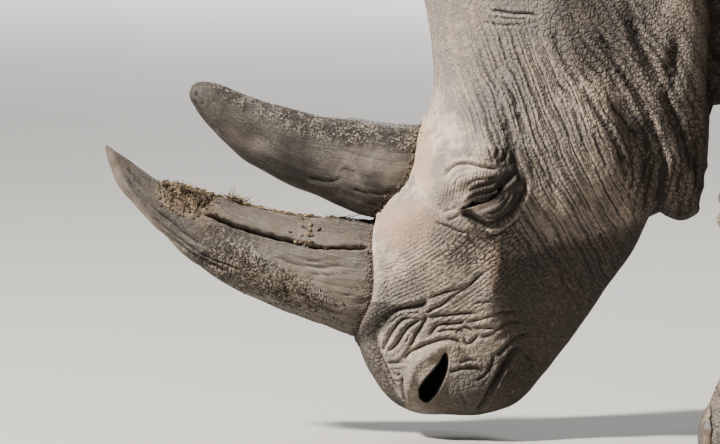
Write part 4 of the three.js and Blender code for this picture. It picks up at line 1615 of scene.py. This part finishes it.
def hide_finish(look):
    """Grey-brown wrinkled skin: a mosaic of creases, dust on its crests, painted shade in its
    hollows.
    """
    skin = Finish("hide")
    spot = skin.spot()
    marks = ("hollow", "crest", "pit", "head", "cheek", "jaw", "neck", "muzzle", "pebbled",
             "smooth", "bare", "dusty", "clean", "ribbed", "soil")
    (hollow, crest, pit, head, cheek, jaw, neck, muzzle, pebbled, smooth, bare, dusty, clean,
     ribbed, soil) = map(skin.attribute, marks)
    cheek_flow, jaw_flow, neck_flow, muzzle_flow = (
        skin.attribute(f"{name} flow", "Vector") for name in FLOW_LINES
    )
    large = skin.noise(spot, 2.6, 4)
    medium = skin.noise(spot, 14, 4)
    small = skin.noise(spot, 70, 5)
    grit = skin.noise(spot, 600, 3, 0.6)
    body = 1 - head
    rough = 1 - smooth * 0.35

    fine = skin.pads(spot, 190.0)
    middling = skin.pads(spot, 95.0)
    coarse = skin.pads(skin.bent(spot, 30.0, 0.012), 56.0)
    pebbles = skin.pads(skin.scaled(skin.bent(spot, 60.0, 0.006), (74.0, 80.0, 105.0), 35), 1.0)
    deep_cheek = skin.wrinkles(cheek_flow, 0.024, 9.0)
    long_cheek = skin.wrinkles(cheek_flow, 0.0105, 11.0)
    short_cheek = skin.wrinkles(cheek_flow, 0.0068, 9.0)
    weave = skin.pads(skin.scaled(cheek_flow, (150.0, 100.0, 115.0)), 1.0)
    long_jaw = skin.wrinkles(jaw_flow, 0.017, 9.0)
    jaw_pads = skin.pads(skin.scaled(jaw_flow, (150.0, 110.0, 100.0)), 1.0)
    neck_pads = skin.pads(skin.scaled(neck_flow, (185.0, 142.0, 118.0)), 1.0)
    neck_strips = skin.wrinkles(neck_flow, 0.031, 9.0)
    muzzle_lines = skin.wrinkles(muzzle_flow, 0.0072, 10.0)
    muzzle_pads = skin.pads(skin.scaled(muzzle_flow, (170.0, 120.0, 110.0)), 1.0)
    ribs = skin.wrinkles(skin.scaled(spot, (1.0, 1.0, 1.0), -12), 0.0056, 7.0)

    # the details of each region, how high they stand and how dark the painted shade between them
    # is
    regions = [
        (body, (coarse, 1.8, 0.3), (middling, 0.9, 0.14)),
        (head * rough, (middling, 0.8, 0.25), (fine, 0.3, 0.15)),
        (cheek, (deep_cheek, 4.0, 0.5), (long_cheek, 2.6, 0.6), (short_cheek, 1.4, 0.35)),
        (cheek, (weave, 0.8, 0.0)),
        (pebbled, (pebbles, 3.2, 0.4)),
        (jaw, (long_jaw, 2.6, 0.7), (jaw_pads, 1.0, 0.25)),
        (neck, (neck_pads, 1.5, 0.35), (neck_strips, 2.2, 0.45)),
        (muzzle, (muzzle_lines, 1.6, 0.5), (muzzle_pads, 0.9, 0.25)),
        (ribbed, (ribs, 1.4, 0.5)),
        (clean, (middling, 0.8, 0.12), (fine, 0.5, 0.12)),
    ]
    height = small * 0.9 + grit * 0.2
    gaps = 0
    for region, *details in regions:
        height = height + region * sum(detail * rise for detail, rise, _ in details)
        gaps = gaps + region * sum((1 - detail) * dark for detail, _, dark in details)

    colour = skin.mixed(skin.between(large, 0.38, 0.62), look.skin_grey, look.skin_warm)
    brown = skin.between(medium + (large - 0.5) * 0.6, 0.46, 0.68)
    colour = skin.mixed(brown * 0.55, colour, look.skin_brown)
    pale = skin.between(small * 0.5 + medium * 0.5, 0.46, 0.62)
    patches = skin.between(medium * 0.6 + small * 0.4, 0.4, 0.6)
    # dust, with painted light on the lit forehead, crest of the face and jaw muscle
    dust = dusty * (0.14 + 0.62 * patches)
    colour = skin.mixed(pale * (0.16 + head * 0.26) + crest * 0.35 + dust, colour, look.skin_pale)
    blush = skin.between(bare * (medium * 1.2 + small * 1.1 - 0.2), 0.25, 0.95)
    colour = skin.mixed(blush * 0.7, colour, look.skin_bare)
    dried = skin.between(soil + (medium - 0.5) * 0.9, 0.35, 0.8)
    colour = skin.mixed(dried * 0.7, colour, look.mud)
    # painted shade on the jaw, lips, temple and nose front
    painted_shade_share = skin.between(clean + (medium - 0.5) * 0.5, 0.2, 0.8)
    colour = skin.multiplied(colour, 1.0 - 0.58 * painted_shade_share)
    # painted shade in the gaps between the details and in the hollows
    shade = skin.between(gaps + hollow * 1.1 + (small - 0.5) * 0.45, 0.12, 1.1)
    colour = skin.mixed(shade * 0.92, colour, look.skin_shade)
    # painted shade: black deep in the openings
    colour = skin.mixed(pit, colour, PIT_SHADE)
    return skin.surface(
        Base_Color=colour,
        Roughness=0.74 + 0.2 * small + 0.2 * pit,
        Specular_IOR_Level=0.28,
        Normal=skin.bump(height, MM),
    )


def mark_horn(horn, worn, dirty, crust, shade=0.0):
    """The grain of a horn, which runs along it, where it is worn and dirty, and its painted
    shade.
    """
    around, along = vertex_uv(horn).T
    turn = 2 * np.pi * around
    grain = np.stack([np.cos(turn), np.sin(turn), along], 1)
    # painted shade in the cracks, and any painted shade that is given
    hollow = ramp(0.1, 1.2, sunk(horn)) + shade
    marked(horn, grain=grain, worn=worn, dirty=dirty, crust=crust, hollow=hollow)


def mark_front_horn(horn):
    """Pale worn edges near the tip, mud on the top, crust on the lower front."""
    x, y, z = head_places(horn).T
    along = vertex_uv(horn)[:, 1]
    front_edge = np.transpose([(edge_z, edge_x) for (edge_x, edge_z), _, _ in FRONT_HORN])
    edge = (1 - ramp(6, 22, x - np.interp(z, *front_edge))) * ramp(0.42, 0.62, along)
    worn = np.clip(0.5 * ramp(0.85, 1.0, along) + 0.95 * edge, 0, 1)
    worn += 0.65 * within(x, z, (-320, 270), (150, 60), -14, 0.6)
    worn += 0.35 * within(x, z, (-380, 380), (120, 16), -14, 0.7)
    foot = 1 - ramp(0.02, 0.12, along)
    dirty = painted(x, z, HORN_DIRT) + 0.6 * foot
    mark_horn(horn, worn, dirty, painted(x, z, HORN_CRUST))


def mark_rear_horn(horn):
    """A dark crumbly top, smooth pale sides with a painted highlight band, painted shade on the
    keel.
    """
    x, y, z = head_places(horn).T
    along = vertex_uv(horn)[:, 1]
    # height over a line that runs from the lower root to the tip
    level = z - np.interp(x, [-545, -430, -312, -156], [650, 572, 524, 515])
    upper = ramp(-14, 30, level) * ramp(-0.06, 0.12, 1 - along)
    # wear, and a painted highlight band
    worn = 0.8 * painted(x, z, REAR_HORN_WEAR_AND_HIGHLIGHT)
    foot = 1 - ramp(0.02, 0.14, along)
    # painted shade along the underside
    keel_shade = 0.6 * within(x, z, (-345, 482), (120, 15), -19, 0.7)
    mark_horn(horn, worn, 0.15 * upper + 0.5 * foot, 0.78 * upper + 0.3 * foot, keel_shade)


def horn_finish(name, look, dark):
    """Fibrous horn: grey-brown, pale where worn and on its painted highlight, earth-coloured
    where dirty.

    `dark` from 0 to 1 is the strength of its dark blotches.
    """
    horn = Finish(name)
    spot = horn.spot()
    grain = horn.attribute("grain", "Vector")
    worn, dirty, crust, hollow = map(horn.attribute, ("worn", "dirty", "crust", "hollow"))
    strands = horn.noise(horn.scaled(grain, (22.0, 22.0, 9.0)), 1.0, 4, 0.6)
    threads = horn.noise(horn.scaled(grain, (70.0, 70.0, 16.0)), 1.0, 3, 0.6)
    blotches = horn.noise(spot, 16, 4)
    specks = horn.noise(spot, 240, 4, 0.65)
    colour = horn.mixed(horn.between(blotches, 0.35, 0.68), look.horn_grey, look.horn_brown)
    colour = horn.mixed(horn.between(strands, 0.42, 0.66) * 0.6, colour, look.horn_dark)
    colour = horn.mixed(horn.between(threads, 0.5, 0.68) * 0.35, colour, look.horn_pale)
    colour = horn.mixed(horn.between(specks, 0.54, 0.64) * 0.7, colour, look.horn_dark)
    colour = horn.mixed(horn.between(specks, 0.44, 0.34) * 0.4, colour, look.horn_pale)
    # wear, and on the rear horn a painted highlight band
    colour = horn.mixed(worn * (0.25 + specks * 0.6 + threads * 0.15), colour, look.horn_pale)
    colour = horn.mixed(dark * horn.between(blotches, 0.3, 0.7), colour, look.horn_dark)
    clusters = horn.noise(spot, 42, 3)
    lumps = horn.noise(spot, 235, 4, 0.6) * 0.72 + clusters * 0.28
    crumbly = horn.between(crust + (blotches - 0.5) * 0.9 + (clusters - 0.5) * 0.7, 0.1, 1.0)
    colour = horn.mixed(crumbly * horn.between(lumps, 0.515, 0.45), colour, look.horn_deep)
    colour = horn.mixed(crumbly * horn.between(lumps, 0.53, 0.59) * 0.9, colour, look.horn_pale)
    dust = horn.between(dirty + (specks - 0.5) * 1.5 + (blotches - 0.5) * 0.6, 0.35, 0.75)
    earth = horn.mixed(horn.between(specks * 0.6 + clusters * 0.4, 0.42, 0.58),
                       look.mud_dark, look.mud)
    colour = horn.mixed(dust * 0.8, colour, earth)
    # painted shade in the cracks and along the rear horn's keel
    colour = horn.mixed(hollow * 0.85, colour, look.horn_deep)
    height = strands * 1.6 + threads * 0.9 + specks * 1.0 + dust * 0.5 + crumbly * lumps * 7
    return horn.surface(
        Base_Color=colour,
        Roughness=0.58 + 0.25 * dust + 0.1 * threads,
        Specular_IOR_Level=0.25,
        Normal=horn.bump(height, MM),
    )


def nail_finish(look):
    """Dull banded horn with dirt on it."""
    nail = Finish("toenail")
    spot = nail.spot()
    bands = nail.noise(nail.scaled(spot, (20.0, 20.0, 190.0)), 1.0, 3)
    blotches = nail.noise(spot, 30, 4)
    colour = nail.mixed(nail.between(blotches, 0.35, 0.7), look.horn_grey, look.horn_brown)
    colour = nail.mixed(nail.between(bands, 0.42, 0.62) * 0.5, colour, look.horn_dark)
    colour = nail.mixed(nail.between(blotches, 0.5, 0.62) * 0.6, colour, look.mud)
    return nail.surface(
        Base_Color=colour,
        Roughness=0.5 + 0.3 * blotches,
        Normal=nail.bump(bands * 0.8 + blotches * 0.6, MM),
    )


def eye_finish(side, pupil_at, look):
    """A wet eye: black pupil, dark brown iris, reddish white at its edge."""
    eye = Finish(f"{side} eye")
    spot = eye.spot()
    away = eye.add(
        "ShaderNodeVectorMath", {"operation": "DISTANCE"}, [spot, tuple(pupil_at)], output=1
    )
    rays = eye.noise(spot, 900, 3)
    away = away * 1000 + (rays - 0.5) * 1.2
    colour = eye.mixed(eye.between(away, 4.5, 7.0), PUPIL_BLACK, look.iris)
    colour = eye.mixed(eye.between(away, 12.0, 13.5), colour, EYE_RIM)
    colour = eye.mixed(eye.between(away, 13.5, 17.0), colour, EYE_WHITE)
    return eye.surface(
        Base_Color=colour,
        Roughness=0.2 + 0.08 * rays,
        Specular_IOR_Level=0.1,
        Coat_Weight=0.14,
        Coat_Roughness=0.03,
    )


def mud_finish(look):
    """Dry crumbly earth, with painted shade in its hollows."""
    earth = Finish("dry mud")
    spot = earth.spot()
    blotches = earth.noise(spot, 55, 4, 0.6)
    grain = earth.noise(spot, 500, 4, 0.65)
    share = earth.between(blotches * 0.6 + grain * 0.4, 0.38, 0.58)
    colour = earth.mixed(share, look.mud, look.mud_dark)
    colour = earth.mixed(earth.attribute("hollow") * 0.95, colour, look.horn_deep)
    return earth.surface(
        Base_Color=colour,
        Roughness=0.85 + 0.1 * grain,
        Specular_IOR_Level=0.2,
        Normal=earth.bump(blotches + grain * 0.8, 1.4 * MM),
    )


def plain_finish(name, first, second, scale, rough, depth):
    """Two colours mixed in blotches, over a grainy surface."""
    made = Finish(name)
    spot = made.spot()
    blotches = made.noise(spot, scale, 4, 0.6)
    grain = made.noise(spot, scale * 7, 4, 0.65)
    share = made.between(blotches * 0.6 + grain * 0.4, 0.38, 0.62)
    return made.surface(
        Base_Color=made.mixed(share, first, second),
        Roughness=rough + 0.1 * grain,
        Normal=made.bump(blotches + grain * 0.6, depth * MM),
    )


# Stage

SENSOR = 36  # millimetres
VIEW_WIDTH = 1.296  # metres that the camera sees at the head
CAMERA_UP = math.radians(4.5)
FLOOR_GREYS = (0.27, 0.266, 0.26), (0.30, 0.296, 0.29)


def lay_floor():
    """A wide plain pale floor."""
    bm = bmesh.new()
    bmesh.ops.create_grid(bm, x_segments=1, y_segments=1, size=40)
    finish = Finish("floor")
    shade = finish.noise(finish.spot(), 0.6, 2)
    finish.surface(Base_Color=finish.mixed(shade, *FLOOR_GREYS), Roughness=0.8 + 0.1 * shade)
    floor = add_object("floor", mesh_from("floor", bm), finish.material)


def fill_room(scene):
    """The faint even light of the room."""
    scene.world = bpy.data.worlds.new("studio")
    scene.world.use_nodes = True
    backdrop = scene.world.node_tree.nodes["Background"]
    backdrop.inputs["Color"].default_value = (0.80, 0.87, 0.97, 1)
    backdrop.inputs["Strength"].default_value = 0.07


def hang_lights(scene, power):
    """Four round soft lights: name, place, aim, size, watts and tint of each."""
    head = Vector((EYES_AT - 0.1, 0, 0.5))
    lights = [
        ("key", head + Vector((-6.1, -2.8, 6.8)), head, 1.1, power, (1.0, 0.94, 0.86)),
        ("fill", (2.0, -7, 3), Vector((0.2, 0, 0.8)), 4.0, 0.006 * power, (0.9, 0.95, 1)),
        ("rim", (2.5, 4.5, 4), Vector((0, 0, 1)), 3.0, 0.05 * power, (1, 0.97, 0.93)),
        ("far floor", (0, 24, 9), Vector((0, 21, 0)), 8.0, 1.2 * power, (1, 0.98, 0.95)),
    ]
    for name, place, aim, size, watts, tint in lights:
        light = bpy.data.lights.new(name, "AREA")
        light.shape = "DISK"
        light.size = size
        light.energy = watts
        light.color = tint
        lamp = bpy.data.objects.new(name, light)
        scene.collection.objects.link(lamp)
        lamp.location = place
        lamp.visible_camera = False
        lamp.rotation_euler = (aim - Vector(place)).to_track_quat("-Z", "Y").to_euler()


def set_camera(scene, distance):
    """A long lens on the left side of the head, a little above it."""
    target = Vector((EYES_AT - 0.234, 0, 0.385))
    offset = Vector((0, -math.cos(CAMERA_UP), math.sin(CAMERA_UP))) * distance
    data = bpy.data.cameras.new("camera")
    data.sensor_width = SENSOR
    data.lens = SENSOR * distance / VIEW_WIDTH
    data.clip_end = 200
    camera = bpy.data.objects.new("camera", data)
    scene.collection.objects.link(camera)
    camera.location = target + offset
    camera.rotation_euler = (-offset).to_track_quat("-Z", "Y").to_euler()
    scene.camera = camera


# Settings


def colour_property(name, description, default):
    return FloatVectorProperty(
        name=name,
        description=description,
        default=default,
        subtype="COLOR",
        size=3,
        min=0,
        max=1,
    )


def count_property(name, description, default, most):
    return IntProperty(
        name=name, description=description, default=default, min=0, max=most
    )


class RhinoColours(bpy.types.PropertyGroup):
    skin_grey: colour_property("Skin grey", "Cooler colour of the hide", (0.118, 0.107, 0.098))
    skin_warm: colour_property("Skin warm", "Warmer colour of the hide", (0.152, 0.127, 0.107))
    # skin pale is also the painted light on the lit patches of the head
    skin_pale: colour_property("Skin pale", "Dust on the hide's crests", (0.36, 0.29, 0.228))
    skin_brown: colour_property("Skin brown", "Brown patches", (0.12, 0.088, 0.064))
    # the colour of the painted shade in the hollows and gaps of the hide
    skin_shade: colour_property("Skin deep", "Hollows of the hide", (0.017, 0.014, 0.012))
    skin_bare: colour_property("Skin bare", "Smooth skin by the horns", (0.27, 0.172, 0.115))
    horn_grey: colour_property("Horn grey", "Main colour of the horns", (0.050, 0.045, 0.041))
    horn_brown: colour_property("Horn brown", "Warm colour of the horns", (0.078, 0.058, 0.042))
    horn_dark: colour_property("Horn dark", "Dark strands of the horns", (0.018, 0.015, 0.013))
    # horn pale is also the painted highlight band on the rear horn
    horn_pale: colour_property("Horn pale", "Worn edges of the horns", (0.24, 0.20, 0.162))
    # horn deep is also the painted shade in the cracks of the horns and the hollows of the mud
    horn_deep: colour_property("Horn deep", "Cracks of the horns", (0.006, 0.005, 0.004))
    mud: colour_property("Mud", "Dry mud and dust", (0.17, 0.125, 0.082))
    mud_dark: colour_property("Mud dark", "Damper mud", (0.03, 0.021, 0.015))
    stalk: colour_property("Stalks", "Dry grass on the horn", (0.36, 0.26, 0.12))
    hair: colour_property("Hair", "Lashes, ear fringe and tail", (0.022, 0.017, 0.013))
    iris: colour_property("Iris", "Ring round the pupil", (0.014, 0.007, 0.004))


class RhinoShapes(bpy.types.PropertyGroup):
    folds: FloatProperty(
        name="Fold strength",
        description="How deep the folds and wrinkles of the hide are",
        default=1.0,
        min=0,
        max=2,
        subtype="FACTOR",
    )
    stalks: count_property(
        "Stalks", "Number of dry stalks stuck in the mud on the front horn", 70, 300
    )
    ear_bristles: count_property(
        "Ear bristles", "Number of bristles on the rim of each ear", 900, 2000
    )
    tail_bristles: count_property(
        "Tail bristles", "Number of bristles at the end of the tail", 520, 2000
    )
    key_light: FloatProperty(
        name="Key light",
        description="Power of the main soft light",
        default=4900.0,
        min=0,
        unit="POWER",
    )
    camera_distance: FloatProperty(
        name="Camera distance",
        description="Distance from the camera to the head",
        default=10.0,
        min=2,
        max=40,
        unit="LENGTH",
    )


# Operators


def fitted(name, mesh, material, *nodes, slot=None):
    """A finished piece, which rides on the model and stands for its nodes."""
    piece = add_object(name, mesh, material)
    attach(piece, "root")
    if nodes:
        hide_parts(*nodes)
    return piece


class PieceOperator(bpy.types.Operator):
    """Shared ways of the operators that build a piece"""

    bl_options = {"REGISTER", "UNDO"}

    @property
    def look(self):
        return bpy.context.scene.rhino_colours

    @property
    def shape(self):
        return bpy.context.scene.rhino_shapes


class OBJECT_OT_rhino_hide(PieceOperator):
    """Build the wrinkled hide over the head, neck, trunk, legs, ears and tail"""

    bl_idname = "object.rhino_hide"
    bl_label = "Hide"

    def execute(self, context):
        hide = hide_base()
        fold_hide(hide, self.shape.folds)
        mark_hide(hide)
        fitted("hide", hide, hide_finish(self.look), *FLESH, slot="skin")
        return {"FINISHED"}


class OBJECT_OT_rhino_horns(PieceOperator):
    """Build the front horn, with its split, and the rear horn"""

    bl_idname = "object.rhino_horns"
    bl_label = "Horns"

    def execute(self, context):
        front = front_horn_mesh()
        mark_front_horn(front)
        fitted("front_horn_keratin", front, horn_finish("front horn", self.look, 0.25),
               "front_horn", slot="horn")
        rear = rear_horn_mesh()
        mark_rear_horn(rear)
        fitted("rear_horn_keratin", rear, horn_finish("rear horn", self.look, 1.0),
               "rear_horn", slot="horn")
        return {"FINISHED"}


class OBJECT_OT_rhino_eyes(PieceOperator):
    """Build the two wet eyeballs"""

    bl_idname = "object.rhino_eyes"
    bl_label = "Eyes"

    def execute(self, context):
        for side in SIDES:
            ball, pupil_at = eyeball_mesh(side)
            finish = eye_finish(side, pupil_at, self.look)
            fitted(f"{side}_eyeball", ball, finish, f"{side}_eye", slot="eye")
        return {"FINISHED"}


class OBJECT_OT_rhino_toenails(PieceOperator):
    """Build the twelve toenails"""

    bl_idname = "object.rhino_toenails"
    bl_label = "Toenails"

    def execute(self, context):
        names = [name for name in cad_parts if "toenail" in name]
        fitted("toenails", toenail_mesh(names), nail_finish(self.look), *names,
               slot="toenail")
        return {"FINISHED"}


class OBJECT_OT_rhino_mud(PieceOperator):
    """Put caked mud, crumbs and dry stalks on the front horn"""

    bl_idname = "object.rhino_mud"
    bl_label = "Mud and stalks"

    def execute(self, context):
        rng = random.Random(5)
        tree = tree_of(bpy.data.objects["front_horn_keratin"].data)
        mud = mud_mesh(rng, tree)
        look = self.look
        hide = bpy.data.objects["hide"].data
        horns = [bpy.data.objects[f"{place}_horn_keratin"].data for place in ("front", "rear")]
        flakes = foot_crumbs(rng, hide, horns, 1900)
        fitted("horn_root_flakes", flakes,
               plain_finish("dry flakes", look.skin_brown, look.mud_dark, 150, 0.85, 0.8))
        fitted("dry_mud", mud, mud_finish(look))
        stalks = stalk_mesh(rng, tree, self.shape.stalks)
        pale = tuple(1.4 * c for c in look.stalk)
        fitted("dry_stalks", stalks, plain_finish("dry stalks", look.stalk, pale, 200, 0.7, 0.3))
        return {"FINISHED"}


class OBJECT_OT_rhino_tufts(PieceOperator):
    """Put lashes on the lids, a fringe on the ears and bristles on the tail"""

    bl_idname = "object.rhino_tufts"
    bl_label = "Lashes, fringe and tail tuft"

    def execute(self, context):
        rng = random.Random(11)
        hide = bpy.data.objects["hide"].data
        layout = hide_unwrap(hide)
        look = self.look
        brown = tuple(1.8 * c for c in look.hair)
        finish = plain_finish("hair", look.hair, brown, 60, 0.55, 0.2)
        shape = self.shape
        tufts = {
            "lashes": lash_roots(rng, hide),
            "ear_fringe": fringe_roots(rng, hide, shape.ear_bristles),
            "tail_tuft": tail_roots(rng, hide, shape.tail_bristles),
        }
        for name, roots in tufts.items():
            fitted(name, strands_mesh(name, roots, layout), finish)
        return {"FINISHED"}


class OBJECT_OT_rhino_stage(PieceOperator):
    """Lay the floor, hang the lights and set the camera"""

    bl_idname = "object.rhino_stage"
    bl_label = "Stage"

    def execute(self, context):
        lay_floor()
        fill_room(context.scene)
        hang_lights(context.scene, self.shape.key_light)
        set_camera(context.scene, self.shape.camera_distance)
        return {"FINISHED"}


OPERATORS = [
    OBJECT_OT_rhino_hide,
    OBJECT_OT_rhino_horns,
    OBJECT_OT_rhino_eyes,
    OBJECT_OT_rhino_toenails,
    OBJECT_OT_rhino_mud,
    OBJECT_OT_rhino_tufts,
    OBJECT_OT_rhino_stage,
]


class VIEW3D_PT_rhino(bpy.types.Panel):
    """Lists the pieces of the rhinoceros and their settings"""

    bl_label = "Rhinoceros"
    bl_space_type = "VIEW_3D"
    bl_region_type = "UI"
    bl_category = "Rhinoceros"

    def draw(self, context):
        for operator in OPERATORS:
            self.layout.operator(operator.bl_idname, text=operator.bl_label)
        for settings in (context.scene.rhino_shapes, context.scene.rhino_colours):
            for name in settings.__annotations__:
                self.layout.prop(settings, name)


CLASSES = [RhinoColours, RhinoShapes, *OPERATORS, VIEW3D_PT_rhino]


def register():
    for made in CLASSES:
        bpy.utils.register_class(made)
    bpy.types.Scene.rhino_colours = PointerProperty(type=RhinoColours)
    bpy.types.Scene.rhino_shapes = PointerProperty(type=RhinoShapes)


def unregister():
    del bpy.types.Scene.rhino_colours
    del bpy.types.Scene.rhino_shapes
    for made in reversed(CLASSES):
        bpy.utils.unregister_class(made)


def main():
    register()
    for operator in OPERATORS:
        space, name = operator.bl_idname.split(".")
        getattr(getattr(bpy.ops, space), name)()


if __name__ == "__main__":
    main()
